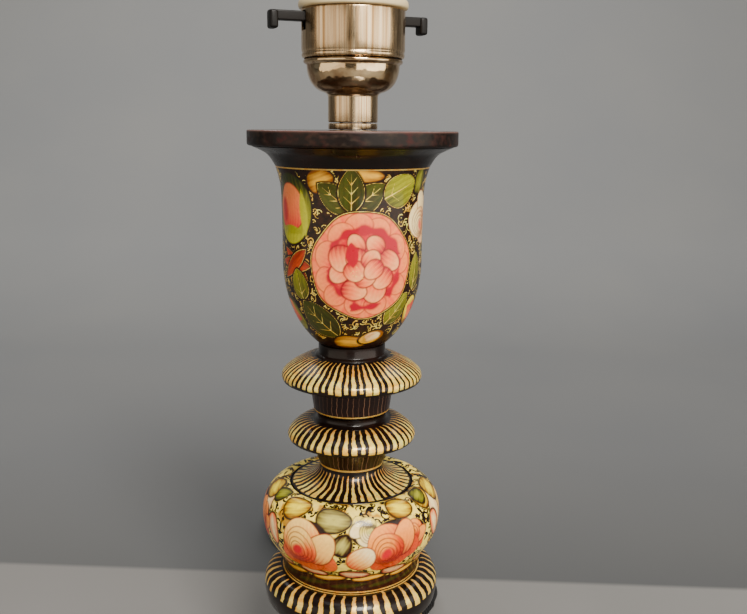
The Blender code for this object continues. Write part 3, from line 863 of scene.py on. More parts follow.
def cup_rose(canvas, turn, height, radius, colours, heart, lean=0.0):
    """A rose seen from the side: nested cups round a red heart, one petal open."""
    deep, middle, pale = colours
    spot = canvas.spot(turn, height, radius * 1.8, lean)
    spot.cover(ellipse(spot.x, spot.y, radius, radius * 0.96) - 0.5, LACQUER_BLACK)
    for x, y, way, long, wide, share in ((-0.62, -0.50, -2.4, 0.50, 0.52, 0.6),
                                         (0.62, -0.58, -0.8, 0.48, 0.50, 0.5),
                                         (-0.04, -0.72, -1.6, 0.42, 0.62, 0.7)):
        petal(spot, x * radius, y * radius, way, long * radius, wide * radius,
              (deep, deep * share + middle * (1.0 - share), middle), 0.2)
    petal(spot, -0.20 * radius, 0.20 * radius, 1.9, radius * 0.80, radius * 0.82,
          (deep, middle, pale), 0.3)
    petal(spot, 0.52 * radius, -0.02 * radius, 0.9, radius * 0.72, radius * 0.50,
          (deep, pale * 0.7 + middle * 0.3, pale), 0.45)
    for share in (0.70, 0.56, 0.43, 0.31):
        x = -0.26 * radius - 0.30 * radius * (0.70 - share)
        y = -0.02 * radius - 0.40 * radius * (0.70 - share)
        petal(spot, x, y, 1.75 + canvas.rng.uniform(-0.25, 0.25), radius * share,
              radius * share * 0.90, (deep, middle, pale), 0.32)
    x, y = spot.frame(-0.36 * radius, -0.16 * radius, 0.6)
    spot.tint(ellipse(x, y, radius * 0.24, radius * 0.20), heart, radius * 0.14, 1.0)


def bud(canvas, turn, height, size, colours, green, lean=90.0, plump=0.66):
    """A closed flower wrapped in its calyx, pointing along `lean` degrees."""
    deep, middle, pale = colours
    wide = size * plump
    spot = canvas.spot(turn, height, size * 1.8, lean)
    body = ellipse(spot.x, spot.y, size, wide)
    spot.cover(body - 0.9, LACQUER_BLACK)
    marks = streaks(spot.y, spot.x, 3.0, canvas.phase())
    shade = 0.45 - 0.6 * spot.x / size + 0.10 * marks
    spot.cover(body, blend(green[0], green[1], shade))
    petal(spot, size * 0.04, wide * 0.10, 0.0, size * 0.66, wide * 0.78,
          (deep * 0.3 + middle * 0.7, middle * 0.4 + pale * 0.6, pale), 0.25)
    x, y = spot.frame(-size * 0.06, wide * 0.48, 0.15)
    spot.tint(ellipse(x, y, size * 0.34, wide * 0.20), deep * 0.7 + middle * 0.3, 1.6, 0.9)
    x, y = spot.frame(-size * 0.10, -wide * 0.66, 0.12)
    spot.cover(lens(x, y, size * 0.66, wide * 0.17), green[1])
    x, y = spot.frame(-size * 0.60, 0.0, 1.5)
    spot.cover(lens(x, y, wide * 0.60, size * 0.12), green[1] * 0.7 + green[0] * 0.3)


def leaf(canvas, turn, height, long, wide, lean, green, veins=3):
    """A leaf in two tones, with gold veins and a gold edge."""
    dark, light = green
    spot = canvas.spot(turn, height, long * 1.3, lean)
    shape = lens(spot.x, spot.y * (1.0 + 0.18 * spot.x / long), long, wide)
    spot.cover(shape - 0.75, LACQUER_BLACK)
    spot.gild(np.abs(shape - 0.04) - 0.09)
    shade = (0.35 + 0.30 * (spot.y > 0.0) + 0.22 * spot.x / long
             + 0.10 * streaks(spot.y, spot.x, 3.2, canvas.phase()))
    spot.cover(shape + 0.08, blend(dark, light, shade))
    if veins:
        spot.gild(stroke(spot.x, spot.y, ((-long * 0.95, 0.0), (long * 0.72, 0.0)), 0.36))
    for k in range(veins):
        root = long * (-0.62 + 0.42 * k)
        for side in (-1.0, 1.0):
            tip = (root + long * 0.34, side * wide * (0.62 - 0.10 * k))
            spot.gild(stroke(spot.x, spot.y, ((root, 0.0), tip), 0.28))


def round_leaf(canvas, turn, height, long, wide, lean, green, edge=0.75):
    """A plump oval leaf or berry with a pale middle and a dark edge."""
    dark, light = green
    spot = canvas.spot(turn, height, long * 1.5, lean)
    shape = ellipse(spot.x, spot.y * (1.0 + 0.2 * spot.x / long), long, wide)
    spot.cover(shape - edge, LACQUER_BLACK)
    marks = streaks(spot.y, spot.x, 2.4, canvas.phase())
    spot.cover(shape, blend(dark, light, 0.02 - 1.15 * shape / wide + 0.16 * marks))


def leaf_fan(canvas, turn, height, size, green):
    """Three leaves that fan up from one stalk, the middle one last."""
    radius = np.interp(height, canvas.heights, canvas.radii)
    reach = size * 0.62
    for angle in (38.0, 142.0, 90.0):
        across = math.cos(math.radians(angle)) * reach
        leaf(canvas, turn + math.degrees(across / radius),
             height + math.sin(math.radians(angle)) * reach, size * 0.66, size * 0.38,
             angle, green)


def filigree(canvas, count, low, high, draw=Spot.gild, size=1.0, weight=0.46):
    """Small curls, commas and dots that fill the ground between the flowers."""
    for spot in canvas.scatter(count, low, high, 3.4 * size):
        radius = size * canvas.rng.uniform(0.7, 1.6)
        sweep = canvas.rng.uniform(2.2, 4.6)
        draw(spot, hook(spot.x, spot.y, radius, 0.0, sweep, weight * size))
        draw(spot, np.hypot(spot.x - radius * 0.1, spot.y) - 0.56 * weight * size)


PINK = shades("ae0024", "ee2a30", "ff8c4c")
PEACH = shades("b41c10", "f06624", "ffcc68")
CREAM = shades("c8783c", "f4c080", "ffe4a4")
ROSE_RED = shades("981008", "d84410", "ff9a3c")
RED_HEART = srgb("c8101e")
ORANGE = shades("6e1408", "d44a1e")
LEAF_DARK = shades("141c06", "464e10")
LEAF_OLIVE = shades("2c300a", "949422")
LEAF_YELLOW = shades("8a5606", "fce024")
LEAF_LIME = shades("26340c", "b4b420")
LEAF_GREY = shades("5c5020", "bcb058")
OCHRE = shades("8a4c0c", "f6b830")
GROUND_CREAM = shades("b88418", "ffe260")


def paint_bell(canvas):
    """Three full roses round the bell, with buds and leaves packed between."""
    filigree(canvas, 2100, 165.0, 227.0, size=0.9)
    round_leaf(canvas, -23.0, 224.0, 5.2, 4.0, 20.0, OCHRE)
    round_leaf(canvas, 11.0, 226.0, 6.6, 2.4, -4.0, OCHRE)
    round_leaf(canvas, 62.0, 224.0, 5.0, 3.4, 96.0, LEAF_OLIVE)
    leaf_fan(canvas, 0.5, 213.5, 12.0, LEAF_DARK)
    leaf(canvas, 41.0, 220.8, 7.4, 5.8, 24.0, LEAF_LIME, 1)
    for turn, lean in ((-50.59, 140.0), (-51.44, 178.0), (-51.48, 222.0)):
        leaf(canvas, turn, 193.4, 8.6, 2.6, lean, ORANGE, 0)
    bud(canvas, -68.0, 174.0, 8.0, PINK, LEAF_OLIVE, 112.0)
    leaf(canvas, -46.0, 186.0, 5.8, 4.2, 100.0, LEAF_OLIVE, 1)
    leaf(canvas, -31.0, 173.0, 9.4, 6.2, 128.0, LEAF_DARK)
    leaf(canvas, 45.0, 177.0, 7.2, 4.6, 58.0, LEAF_OLIVE, 2)
    leaf(canvas, 62.0, 190.5, 7.0, 3.6, 84.0, LEAF_OLIVE, 1)
    round_leaf(canvas, 0.0, 164.0, 6.2, 3.6, 0.0, OCHRE)
    bud(canvas, 25.0, 166.0, 4.8, CREAM, OCHRE, 24.0)
    bud(canvas, 68.0, 175.0, 6.4, PINK, LEAF_YELLOW, -70.0)
    cup_rose(canvas, 70.0, 210.5, 8.2, CREAM, srgb("e07050"), 70.0)
    bud(canvas, -54.0, 213.5, 12.8, PINK, LEAF_LIME, 90.0, 0.80)
    for turn, height, radius, colours in ((135.0, 197.0, 17.4, PEACH),
                                          (-122.0, 196.0, 17.4, PINK)):
        leaf_fan(canvas, turn - 12.0, height + 17.0, 12.0, LEAF_DARK)
        round_leaf(canvas, turn + 24.0, height + 24.0, 5.6, 4.6, 70.0, LEAF_YELLOW)
        round_leaf(canvas, turn + 6.0, height + 29.0, 6.6, 2.4, 6.0, OCHRE)
        leaf(canvas, turn - 34.0, height - 20.5, 9.0, 5.2, 128.0, LEAF_DARK)
        leaf(canvas, turn + 36.0, height - 19.0, 7.6, 4.4, 60.0, LEAF_OLIVE)
        round_leaf(canvas, turn - 8.0, height - 30.5, 6.2, 3.4, 0.0, OCHRE)
        bud(canvas, turn + 22.0, height - 29.5, 5.0, CREAM, OCHRE, 24.0)
        open_rose(canvas, turn, height, radius, colours)
    bud(canvas, -174.0, 214.0, 9.6, PINK, LEAF_YELLOW, 88.0)
    for height in (186.0, 196.0):
        leaf(canvas, -174.0, height, 6.4, 2.6, 84.0, LEAF_OLIVE, 1)
    bud(canvas, -172.0, 175.0, 6.4, CREAM, LEAF_OLIVE, 96.0)
    open_rose(canvas, 10.4, 193.9, 19.1, PINK)


def paint_bulb(canvas):
    """A wreath of roses round the bulb on a cream ground, with yellow leaves."""
    canvas.paint[:] = GROUND_CREAM[0]
    for spot in canvas.scatter(1300, 73.0, 120.0, 4.0):
        spot.tint(ellipse(spot.x, spot.y, 2.8, 1.2), GROUND_CREAM[1], 0.8, 0.8)
    filigree(canvas, 620, 76.0, 120.0, Spot.ink, 1.1, 0.8)
    for spot in canvas.scatter(420, 76.0, 120.0, 4.0):
        spot.ink(lens(spot.x, spot.y, canvas.rng.uniform(1.2, 2.8),
                      canvas.rng.uniform(0.3, 0.7)))
    band = np.abs(canvas.height - 71.0) < 3.8
    canvas.paint[band] = LACQUER_BROWN
    for turn in np.arange(0.0, 360.0, 30.0):
        round_leaf(canvas, turn, 71.6, 7.6, 1.4, 6.0, (LACQUER_BROWN, LEAF_OLIVE[0]), 0.2)
        round_leaf(canvas, turn + 15.0, 75.2, 6.4, 1.5, 4.0, OCHRE)
        round_leaf(canvas, turn + 4.0, 77.6, 5.6, 2.0, -6.0, (ROSE_RED[0], CREAM[1]))
    for turn in (-72.0, 72.0, 180.0):
        round_leaf(canvas, turn, 96.0, 8.4, 4.4, 92.0, CREAM[1:])
        round_leaf(canvas, turn - 9.0, 102.2, 5.0, 4.0, 40.0, LEAF_YELLOW)
    for turn in (-40.0, 84.0, 204.0):
        round_leaf(canvas, turn, 101.6, 5.8, 4.2, 18.0, LEAF_YELLOW)
        round_leaf(canvas, turn + 30.0, 100.0, 6.4, 4.2, -2.0, LEAF_GREY)
        round_leaf(canvas, turn - 22.0, 102.8, 3.8, 3.2, 30.0, LEAF_OLIVE)
        round_leaf(canvas, turn - 16.0, 91.0, 5.8, 3.2, -68.0, (PEACH[1], CREAM[2]))
        round_leaf(canvas, turn + 36.0, 91.6, 4.0, 3.2, 60.0,
                   (LACQUER_BROWN, LEAF_GREY[1]), 1.0)
        round_leaf(canvas, turn + 78.0, 102.0, 5.2, 4.0, -20.0, LEAF_YELLOW)
        cup_rose(canvas, turn + 50.0, 96.4, 5.0, (LEAF_GREY[0], GROUND_CREAM[1], CREAM[2]),
                 LEAF_GREY[1], 160.0)
        cup_rose(canvas, turn + 85.0, 92.0, 5.4, ROSE_RED, RED_HEART, -20.0)
        cup_rose(canvas, turn + 68.0, 90.0, 9.8, ROSE_RED, RED_HEART, 24.0)
        petal(canvas.spot(turn + 48.0, 85.6, 9.0), 0.0, 0.0, 0.8, 5.6, 4.9,
              (ROSE_RED[1], PEACH[1] * 0.3 + PEACH[2] * 0.7, CREAM[2]), 0.5, 1.0)
        cup_rose(canvas, turn + 13.0, 89.0, 10.6, PEACH, RED_HEART)


def paint_dome(canvas):
    """A second wreath on the foot's dome."""
    filigree(canvas, 520, 20.5, 50.0)
    for turn in (20.0, 110.0, 200.0, 290.0):
        leaf(canvas, turn - 32.0, 40.5, 9.0, 4.2, 60.0, LEAF_DARK)
        leaf(canvas, turn + 32.0, 40.5, 9.0, 4.2, 120.0, LEAF_OLIVE)
        leaf(canvas, turn + 45.0, 27.0, 8.6, 4.4, 90.0, LEAF_DARK)
        round_leaf(canvas, turn, 48.5, 5.4, 2.6, 0.0, OCHRE)
        round_leaf(canvas, turn + 45.0, 44.5, 4.6, 3.2, 90.0, LEAF_YELLOW)
        leaf(canvas, turn - 26.0, 24.5, 7.4, 3.4, 20.0, LEAF_OLIVE)
        leaf(canvas, turn + 26.0, 24.5, 7.4, 3.4, -20.0, LEAF_YELLOW)
        bud(canvas, turn + 30.0, 33.0, 6.2, PINK, LEAF_OLIVE, 60.0)
        cup_rose(canvas, turn, 34.0, 11.0, PEACH, RED_HEART)


# ---- the wooden column ------------------------------------------------------
RING_STEPS = 240              # points round a plain piece
BELL_STEPS, WREATH_STEPS = 500, 640   # and round the painted ones


def painted_mesh(spans, outline, steps, paint, seed):
    """A turned shape with one of its outlines painted."""
    mesh = turned_mesh(spans, steps)
    canvas = Canvas(outline, steps, seed)
    paint(canvas)
    canvas.onto(mesh)
    return mesh


def make_bell():
    cove = smooth([(37.4, 235.1), (34.2, 233.7), (32.4, 232.7), (30.9, 231.2),
                   (29.7, 229.4), (28.9, 228.1)])
    upper = [(28.75, 227.6), (27.6, 223.5), (27.1, 221.0), (26.7, 214.0), (26.5, 205.0),
             (26.5, 193.0)]
    lower = ellipse_arc(26.5, 37.2, 193.0, 0.0, -59.9, 30)
    painted = smooth(upper + lower[1:], 0.30)
    bore = [(8.0, 160.7), (8.0, 155.3), (5.5, 155.3), (5.5, 230.5), (12.3, 230.5)]
    spans = [(0, [(12.3, 235.1), (36.9, 235.1)] + cove), (1, [cove[-1], painted[0]]),
             (2, painted), (0, [painted[-1]] + bore)]
    mesh = painted_mesh(spans, painted, BELL_STEPS, paint_bell, 11)
    finished("bell_painted", mesh, "bell", "black_lacquer", "gold_line", "painted_lacquer",
             slot="painted_lacquer")


def make_bulb():
    painted = smooth([(24.7, 103.2), (26.2, 103.5), (28.4, 103.3), (30.8, 101.9),
                      (33.1, 99.5), (34.7, 96.5), (35.5, 93.0), (35.5, 89.6),
                      (35.0, 86.2), (34.0, 83.2), (32.3, 80.2), (30.2, 77.0),
                      (28.6, 73.4), (27.4, 68.7)], 0.27)
    spans = [(0, [(12.3, 101.8), (24.3, 101.8), (24.4, 102.9), painted[0]]),
             (2, painted), (1, [painted[-1], (27.1, 67.9)]),
             (0, [(27.1, 67.9), (12.0, 67.9), (12.0, 62.7), (5.5, 62.7), (5.5, 96.6),
                  (12.3, 96.6)])]
    mesh = painted_mesh(spans, painted, WREATH_STEPS, paint_bulb, 5)
    finished("bulb_painted", mesh, "bulb", "black_lacquer", "gold_line", "painted_lacquer",
             slot="painted_lacquer")


def make_spindle():
    """The three striped rings and the necks between them, turned in one."""
    top = [(8.3, 160.4), (12.7, 160.4), (13.0, 160.1), (13.0, 157.0), (13.3, 156.4),
           (13.9, 156.1), (14.3, 155.7), (14.5, 155.4)]
    ring_1 = smooth([(14.5, 155.4), (17.0, 155.0), (21.5, 153.0), (25.5, 150.4),
                     (27.1, 148.7), (27.4, 147.2), (26.9, 145.8)], 0.35)
    neck_2 = [(16.4, 144.9), (15.7, 139.0), (15.05, 134.1)]
    ring_2 = smooth([(15.0, 129.4), (17.5, 129.5), (20.5, 128.6), (23.0, 126.8),
                     (24.7, 124.9), (25.2, 123.2), (24.7, 121.9)], 0.35)
    neck_3 = [(16.4, 121.1), (14.5, 116.0), (12.85, 111.7)]
    collar = smooth([(12.7, 110.9), (13.0, 109.0), (14.6, 106.8), (17.4, 105.0),
                     (20.8, 103.8), (23.4, 103.3)], 0.35)
    spans = [(0, top), (2, ring_1), (0, [ring_1[-1], (25.8, 145.2), neck_2[0]]),
             (3, neck_2), (1, [neck_2[-1], (14.95, 133.55)]),
             (0, [(14.95, 133.55), (14.4, 133.0), (13.5, 132.6), (13.3, 132.2),
                  (13.3, 130.4), (13.7, 129.8), (14.4, 129.5), ring_2[0]]),
             (4, ring_2), (0, [ring_2[-1], (23.8, 121.4), neck_3[0]]),
             (3, neck_3), (1, [neck_3[-1], (12.75, 111.3), collar[0]]),
             (5, collar),
             (0, [collar[-1], (23.9, 103.1), (24.1, 102.8), (24.1, 102.1), (12.0, 102.1),
                  (12.0, 96.9), (5.5, 96.9), (5.5, 155.0), (8.3, 155.0)])]
    mesh = turned_mesh(spans, RING_STEPS)
    finished("ring_spindle_striped", mesh, "ring_spindle", "black_lacquer", "gold_line",
             "stripes_upper_ring", "threads_neck", "stripes_middle_ring", "stripes_collar")


def make_lower_ring():
    ring = smooth([(27.9, 67.6), (30.0, 67.5), (32.7, 66.2), (34.6, 63.7), (35.2, 61.0),
                   (35.1, 58.4), (34.8, 56.8)], 0.35)
    spans = [(0, [(12.3, 67.6), (27.3, 67.6)]), (1, [(27.3, 67.6), ring[0]]), (2, ring),
             (0, [ring[-1], (34.5, 55.4), (33.3, 54.2), (9.0, 54.2), (9.0, 49.2),
                  (5.5, 49.2), (5.5, 62.4), (12.3, 62.4)])]
    mesh = turned_mesh(spans, RING_STEPS)
    finished("lower_ring_striped", mesh, "lower_ring", "black_lacquer", "gold_line",
             "stripes_lower_ring")


def make_foot():
    dome = smooth(ellipse_arc(38.5, 32.0, 19.0, 62.0, 1.5, 40), 0.34)
    skirt = smooth([(40.6, 19.0), (46.0, 18.2), (51.0, 16.6), (53.9, 14.3), (55.0, 11.8)],
                   0.35)
    spans = [(0, [(9.3, 53.9), (16.5, 53.9), (17.0, 53.5), (17.1, 51.0), (17.4, 48.6)]),
             (1, [(17.4, 48.6), dome[0]]), (2, dome), (1, [dome[-1], (38.9, 19.0)]),
             (0, [(38.9, 19.0), skirt[0]]), (3, skirt),
             (0, [skirt[-1], (55.0, 8.6)]), (1, [(55.0, 8.6), (55.0, 8.0)]),
             (0, [(55.0, 8.0), (55.0, 5.0), (54.6, 3.6), (53.6, 2.6), (30.0, 2.6),
                  (30.0, 20.0), (14.0, 24.0), (14.0, 37.5), (5.5, 37.5), (5.5, 48.9),
                  (9.3, 48.9)])]
    mesh = painted_mesh(spans, dome, WREATH_STEPS, paint_dome, 23)
    foot = finished("foot_painted", mesh, "foot", "black_lacquer", "gold_line",
                    "painted_lacquer", "stripes_foot")
    hole = rod(5.3, 40.0, 62.0, 64)
    boolean_cut(foot, [aimed(hole, (0.0, 0.0, EXIT_Z), EXIT_AXIS)])


def make_top_disc():
    edge = ([(38.2, 241.1)] + [(38.5 + 0.7 * math.sin(a), 240.4 + 0.7 * math.cos(a))
                               for a in np.radians([15, 35, 55, 75])]
            + [(39.2, 240.0), (39.2, 236.8)]
            + [(38.3 + 0.9 * math.cos(a), 236.3 - 0.9 * math.sin(a))
               for a in np.radians([10, 35, 60, 85])])
    outline = ([(5.5, 241.1), (20.0, 241.1), (30.0, 241.1)] + edge
               + [(36.0, 235.4), (12.0, 235.4), (12.0, 230.8), (5.5, 230.8)])
    finished("top_disc_worn", turned(outline, RING_STEPS), "top_disc", "worn_lacquer",
             slot="black_lacquer")


# ---- the lampholder ---------------------------------------------------------
HOLDER_STEPS = 192
BAR_LOW, BAR_HIGH = 278.9, 282.3
BAR_SHIFT = -1.5              # where the bar rests, pushed to one side
CONTACTS = (("front", -4.75), ("back", 4.75))   # across the bar
GRUB_Z = 248.5                # height of the grub screw in the cap's neck


def displaced(mesh, radius_at):
    """Moves points in or out from the axis: radius_at(turn, radius, z) in mm."""
    for vertex in mesh.vertices:
        x, y, z = vertex.co / MM
        radius = math.hypot(x, y)
        if radius > 0.0:
            scale = radius_at(math.atan2(x, -y), radius, z) / radius
            vertex.co = Vector((x * scale, y * scale, z)) * MM
    return mesh


def make_holder_cap():
    nut = turned([(5.3, 243.6), (8.9, 243.6), (9.1, 243.4), (9.1, 241.7), (8.9, 241.4),
                  (5.3, 241.4)], HOLDER_STEPS)
    finished("neck_nut_polished", nut, "neck_nut", "brushed_nickel")
    bead = smooth([(17.3, 266.3), (17.9, 266.2), (18.2, 265.7), (18.1, 265.1),
                   (17.5, 264.6), (17.1, 264.3)], 0.15)
    bowl = smooth([(17.05, 264.1), (16.95, 262.6), (16.4, 260.2), (15.4, 258.0),
                   (13.8, 256.2), (11.8, 255.0), (10.2, 254.4), (9.5, 253.9),
                   (9.25, 253.2)], 0.3)
    neck = [(9.2, 252.8), (9.2, 244.5), (9.1, 244.1), (8.8, 243.9), (5.3, 243.9)]
    inside = [(5.3, 255.4), (9.5, 255.8), (12.6, 257.2), (14.6, 259.4), (15.8, 262.5),
              (16.2, 266.3)]
    mesh = turned_mesh([(0, bead + bowl), (1, [bowl[-1]] + neck),
                        (0, [neck[-1]] + inside)], HOLDER_STEPS)
    cap = finished("holder_cap_polished", mesh, "holder_cap", "polished_nickel",
                   "brushed_nickel")
    boolean_cut(cap, [aimed(rod(1.7, 4.0, 11.0, 32), (0.0, 0.0, GRUB_Z), (0.0, 1.0, 0.0))])


def make_holder_shell():
    foot = smooth([(18.0, 266.6), (18.45, 266.8), (18.75, 267.3), (18.8, 268.0),
                   (18.6, 268.5), (18.7, 268.9), (18.9, 269.3)][::-1], 0.12)
    rim = [(18.9 - 0.5 * (1 - math.sin(a)), 283.0 + 0.5 * math.cos(a))
           for a in np.radians([0, 22, 45, 67, 90])]
    outline = ([(14.8, 283.5)] + rim + [(18.9, 276.0)] + foot
               + [(17.9, 266.6), (17.9, 282.9), (14.8, 282.9)])
    shell = finished("holder_shell_brushed", turned(outline, HOLDER_STEPS),
                     "holder_shell", "brushed_nickel")
    window = moved(block_mesh((50.0, 5.2, 6.8), 0.5), (0.0, 0.0, 279.3), BAR_TURN)
    boolean_cut(shell, [window])


def make_switch():
    top = [(0.0, 290.5), (9.9, 290.5), (10.4, 290.3), (10.8, 289.8), (10.8, 282.5),
           (17.0, 282.5), (17.4, 282.1), (17.4, 267.6), (17.0, 267.2), (0.0, 267.2)]
    drum = finished("switch_drum_moulded", turned(top, 96), "switch_drum", "bakelite")
    cuts = [moved(block_mesh((60.0, 4.8, 6.4), 0.0), (0.0, 0.0, 279.7), BAR_TURN)]
    for _, offset in CONTACTS:
        place = BAR_ACROSS * offset
        ring = [(3.1, 291.0), (3.7, 291.0), (3.7, 290.1), (3.1, 290.1)]
        cuts += [moved(rod(2.3, 284.2, 294.0, 32), place), moved(turned(ring, 48), place)]
    boolean_cut(drum, cuts)
    place = BAR_AXIS * BAR_SHIFT + UP * (BAR_LOW + BAR_HIGH) / 2.0
    block = block_mesh((60.0, 4.2, BAR_HIGH - BAR_LOW), 0.5, 3)
    bar = finished("push_bar_moulded", moved(block, place, BAR_TURN), "push_bar",
                   "bakelite", body="switch_bar")
    ends = [moved(block_mesh((3.0, 5.6, 6.3), 0.9, 4),
                  BAR_AXIS * (BAR_SHIFT + end) + UP * (BAR_HIGH - 3.14), BAR_TURN)
            for end in (-28.5, 28.5)]
    boolean_cut(bar, ends, "UNION")
    for name, offset in CONTACTS:
        tip = smooth([(0.0, 294.5), (0.8, 294.35), (1.4, 293.9), (1.6, 293.2)], 0.15)
        pin = turned(tip + [(1.6, 291.0), (1.7, 290.8), (2.0, 290.6), (2.0, 289.0),
                            (0.0, 289.0)], 48)
        finished("plunger_%s_turned" % name, moved(pin, BAR_ACROSS * offset),
                 "plunger_" + name, "brass", body="contact_" + name)


def make_springs():
    """The springs under the contacts, wound at their rest length."""
    turns, points, radius = 3.0, 90, 1.5
    low, high, seat = 284.9, 288.4, 284.6
    for name, offset in CONTACTS:
        place = BAR_ACROSS * offset
        route = []
        for share in np.linspace(0.0, 1.0, points):
            angle = 2.0 * math.pi * turns * share
            route.append((place.x + radius * math.cos(angle),
                          place.y + radius * math.sin(angle),
                          low + (high - low) * ease(share, 0.0, 1.0)))
        wire = tube("wire", route, 0.3, 3)
        bpy.context.view_layer.update()
        mesh = bpy.data.meshes.new_from_object(wire)
        bpy.data.objects.remove(wire)
        spring = finished("plunger_spring_%s_wound" % name, mesh, "plunger_spring_" + name,
                          "zinc_steel")
        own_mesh(spring)


def make_barrel():
    wall = [(11.5, 305.0), (11.9, 305.0), (12.2, 304.7), (12.2, 283.8), (14.4, 283.8),
            (14.4, 282.9), (11.5, 282.9)]
    barrel = finished("bayonet_barrel_polished", turned(wall, 128), "bayonet_barrel",
                      "polished_nickel")
    cuts = []
    for side in (-1.0, 1.0):
        entry = BAR_AXIS * side * 12.0 + UP * 302.0
        foot = (BAR_AXIS * 11.6 - BAR_ACROSS * 2.3) * side + UP * 298.4
        cuts += [moved(block_mesh((4.0, 2.8, 10.0), 0.0), entry, BAR_TURN),
                 moved(block_mesh((5.0, 7.0, 2.8), 0.6), foot, BAR_TURN)]
    boolean_cut(barrel, cuts)
    heights = np.arange(295.6, 284.05, -0.15)
    outline = [(12.5, 295.6)] + [(14.2, z) for z in heights] + [(12.5, 284.1)]
    pitch = 1.8

    def thread(turn, radius, z):
        if radius < 13.0 or z > 295.0:
            return min(radius, 13.7)
        way = (z / pitch + turn / (2.0 * math.pi)) % 1.0
        return 13.45 + 0.72 * min(1.0, max(0.0, 1.5 - 3.6 * abs(way - 0.5)))

    skirt = displaced(turned(outline, 144), thread)
    finished("skirt_threaded", skirt, "threaded_skirt", "polished_nickel")


def make_shade_ring():
    wall = [(14.5, 293.5), (14.8, 293.8), (16.5, 293.8), (16.9, 293.5)]
    wall += [(17.0, z) for z in np.linspace(293.2, 287.7, 12)]
    flange = smooth([(17.3, 287.2), (18.2, 287.0), (19.2, 286.8), (19.75, 286.3),
                     (19.9, 285.6), (19.9, 284.7), (19.7, 284.1), (19.2, 283.8)], 0.2)
    outline = wall + flange + [(14.7, 283.8), (14.7, 284.6), (14.5, 284.9)]

    def ribbed(turn, radius, z):
        if 16.95 < radius < 17.05 and 287.9 < z < 293.1:
            return radius + 0.45 * max(0.0, math.cos(24.0 * turn))
        return radius

    ring = displaced(turned(outline, 288), ribbed)
    finished("shade_ring_moulded", ring, "shade_ring", "cream_plastic", body="shade_nut")


# ---- the flex and its plug --------------------------------------------------
def along_exit(reach, height):
    return EXIT_AXIS * reach + UP * height


def coil_point(radius, degrees, height):
    angle = math.radians(degrees)
    return (COIL_CENTRE[0] + radius * math.cos(angle),
            COIL_CENTRE[1] + radius * math.sin(angle), height)


def ease(value, low, high):
    """0 before low, 1 after high and a smooth step between."""
    share = min(1.0, max(0.0, (value - low) / (high - low)))
    return 0.5 - 0.5 * math.cos(math.pi * share)


def coil_route():
    """Six turns in two layers: inwards below, then outwards on top.

    Each turn keeps its radius for a while and then eases over to the next.
    """
    low, high = COIL_LAYERS
    keep, over = 210.0, 150.0              # degrees
    lift = (910.0, 1010.0)                 # where the flex climbs to the upper layer
    leave, last, end = 2100.0, 2160, 2192.0
    route = []
    for degrees in range(0, last + 1, 6):
        radius = COIL_OUTER
        for turn, way in enumerate((-1.0, -1.0, 0.0, 1.0, 1.0)):
            start = 360.0 * turn + keep
            radius += way * 2.0 * FLEX_R * ease(degrees, start, start + over)
        climb = ease(degrees, leave, end)
        height = low + (high - low) * ease(degrees, *lift) + 7.6 * climb
        route.append(coil_point(radius - 4.5 * climb, degrees, height))
    return route


def flex_route():
    lead = [along_exit(reach, EXIT_Z) for reach in (EXIT_REACH, 67.0, 78.5)]
    lead += [(39.4, 81.5, 6.4), (38.6, 95.0, 3.7), (36.4, 109.0, 3.5),
             (34.7, 122.0, 3.5), (34.3, 133.5, 3.5)]
    lie = COIL_TOP + FLEX_R
    entry = PLUG_CENTRE[0] - PLUG_SIZE[0] / 2.0
    tail = [coil_point(40.0, 32.0, lie), coil_point(38.5, 60.0, lie)]
    tail += [coil_point(37.5, degrees, lie) for degrees in (90.0, 120.0, 150.0, 178.0)]
    tail += [(-41.1, 150.0, lie + 0.6), (-32.3, 140.0, lie + 2.0),
             (entry - 6.0, PLUG_CENTRE[1], lie + 3.2),
             (entry - 0.3, PLUG_CENTRE[1], lie + 3.6)]
    corners = [tuple(point) for point in lead] + coil_route() + tail
    return smooth(corners, 2.0)


def make_flex():
    route = flex_route()
    flex = tube("mains_flex", route, FLEX_R, 5)
    flex.data.materials.append(MATERIALS["black_flex"])
    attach(flex, "stand")
    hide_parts("flex_lead", "flex_coil", "flex_tail")
    return flex, sum(math.dist(a, b) for a, b in zip(route, route[1:]))


def make_strain_relief():
    bush = turned([(3.7, 54.6), (4.8, 54.6), (5.0, 54.4), (5.0, 46.0), (3.7, 46.0)], 64)
    finished("exit_bush_moulded", aimed(bush, (0.0, 0.0, EXIT_Z), EXIT_AXIS), "exit_bush",
             "black_flex")
    outline = [(3.56, 77.4), (4.3, 77.4), (4.55, 77.1)]
    ribs, first, last = 8, 76.6, 58.0
    pitch = (first - last) / ribs
    for k in range(ribs):
        crest, top = 4.55 + 0.09 * k, first - pitch * k
        outline += [(crest, top), (crest, top - pitch * 0.55),
                    (crest - 0.55, top - pitch * 0.65), (crest - 0.55, top - pitch * 0.92)]
    outline += [(5.3, last), (5.6, 57.6), (5.6, 55.7), (5.3, 55.4), (3.56, 55.4)]
    relief = aimed(turned(outline, 64), (0.0, 0.0, EXIT_Z), EXIT_AXIS)
    return finished("strain_relief_ribbed", relief, "strain_relief", "black_flex")


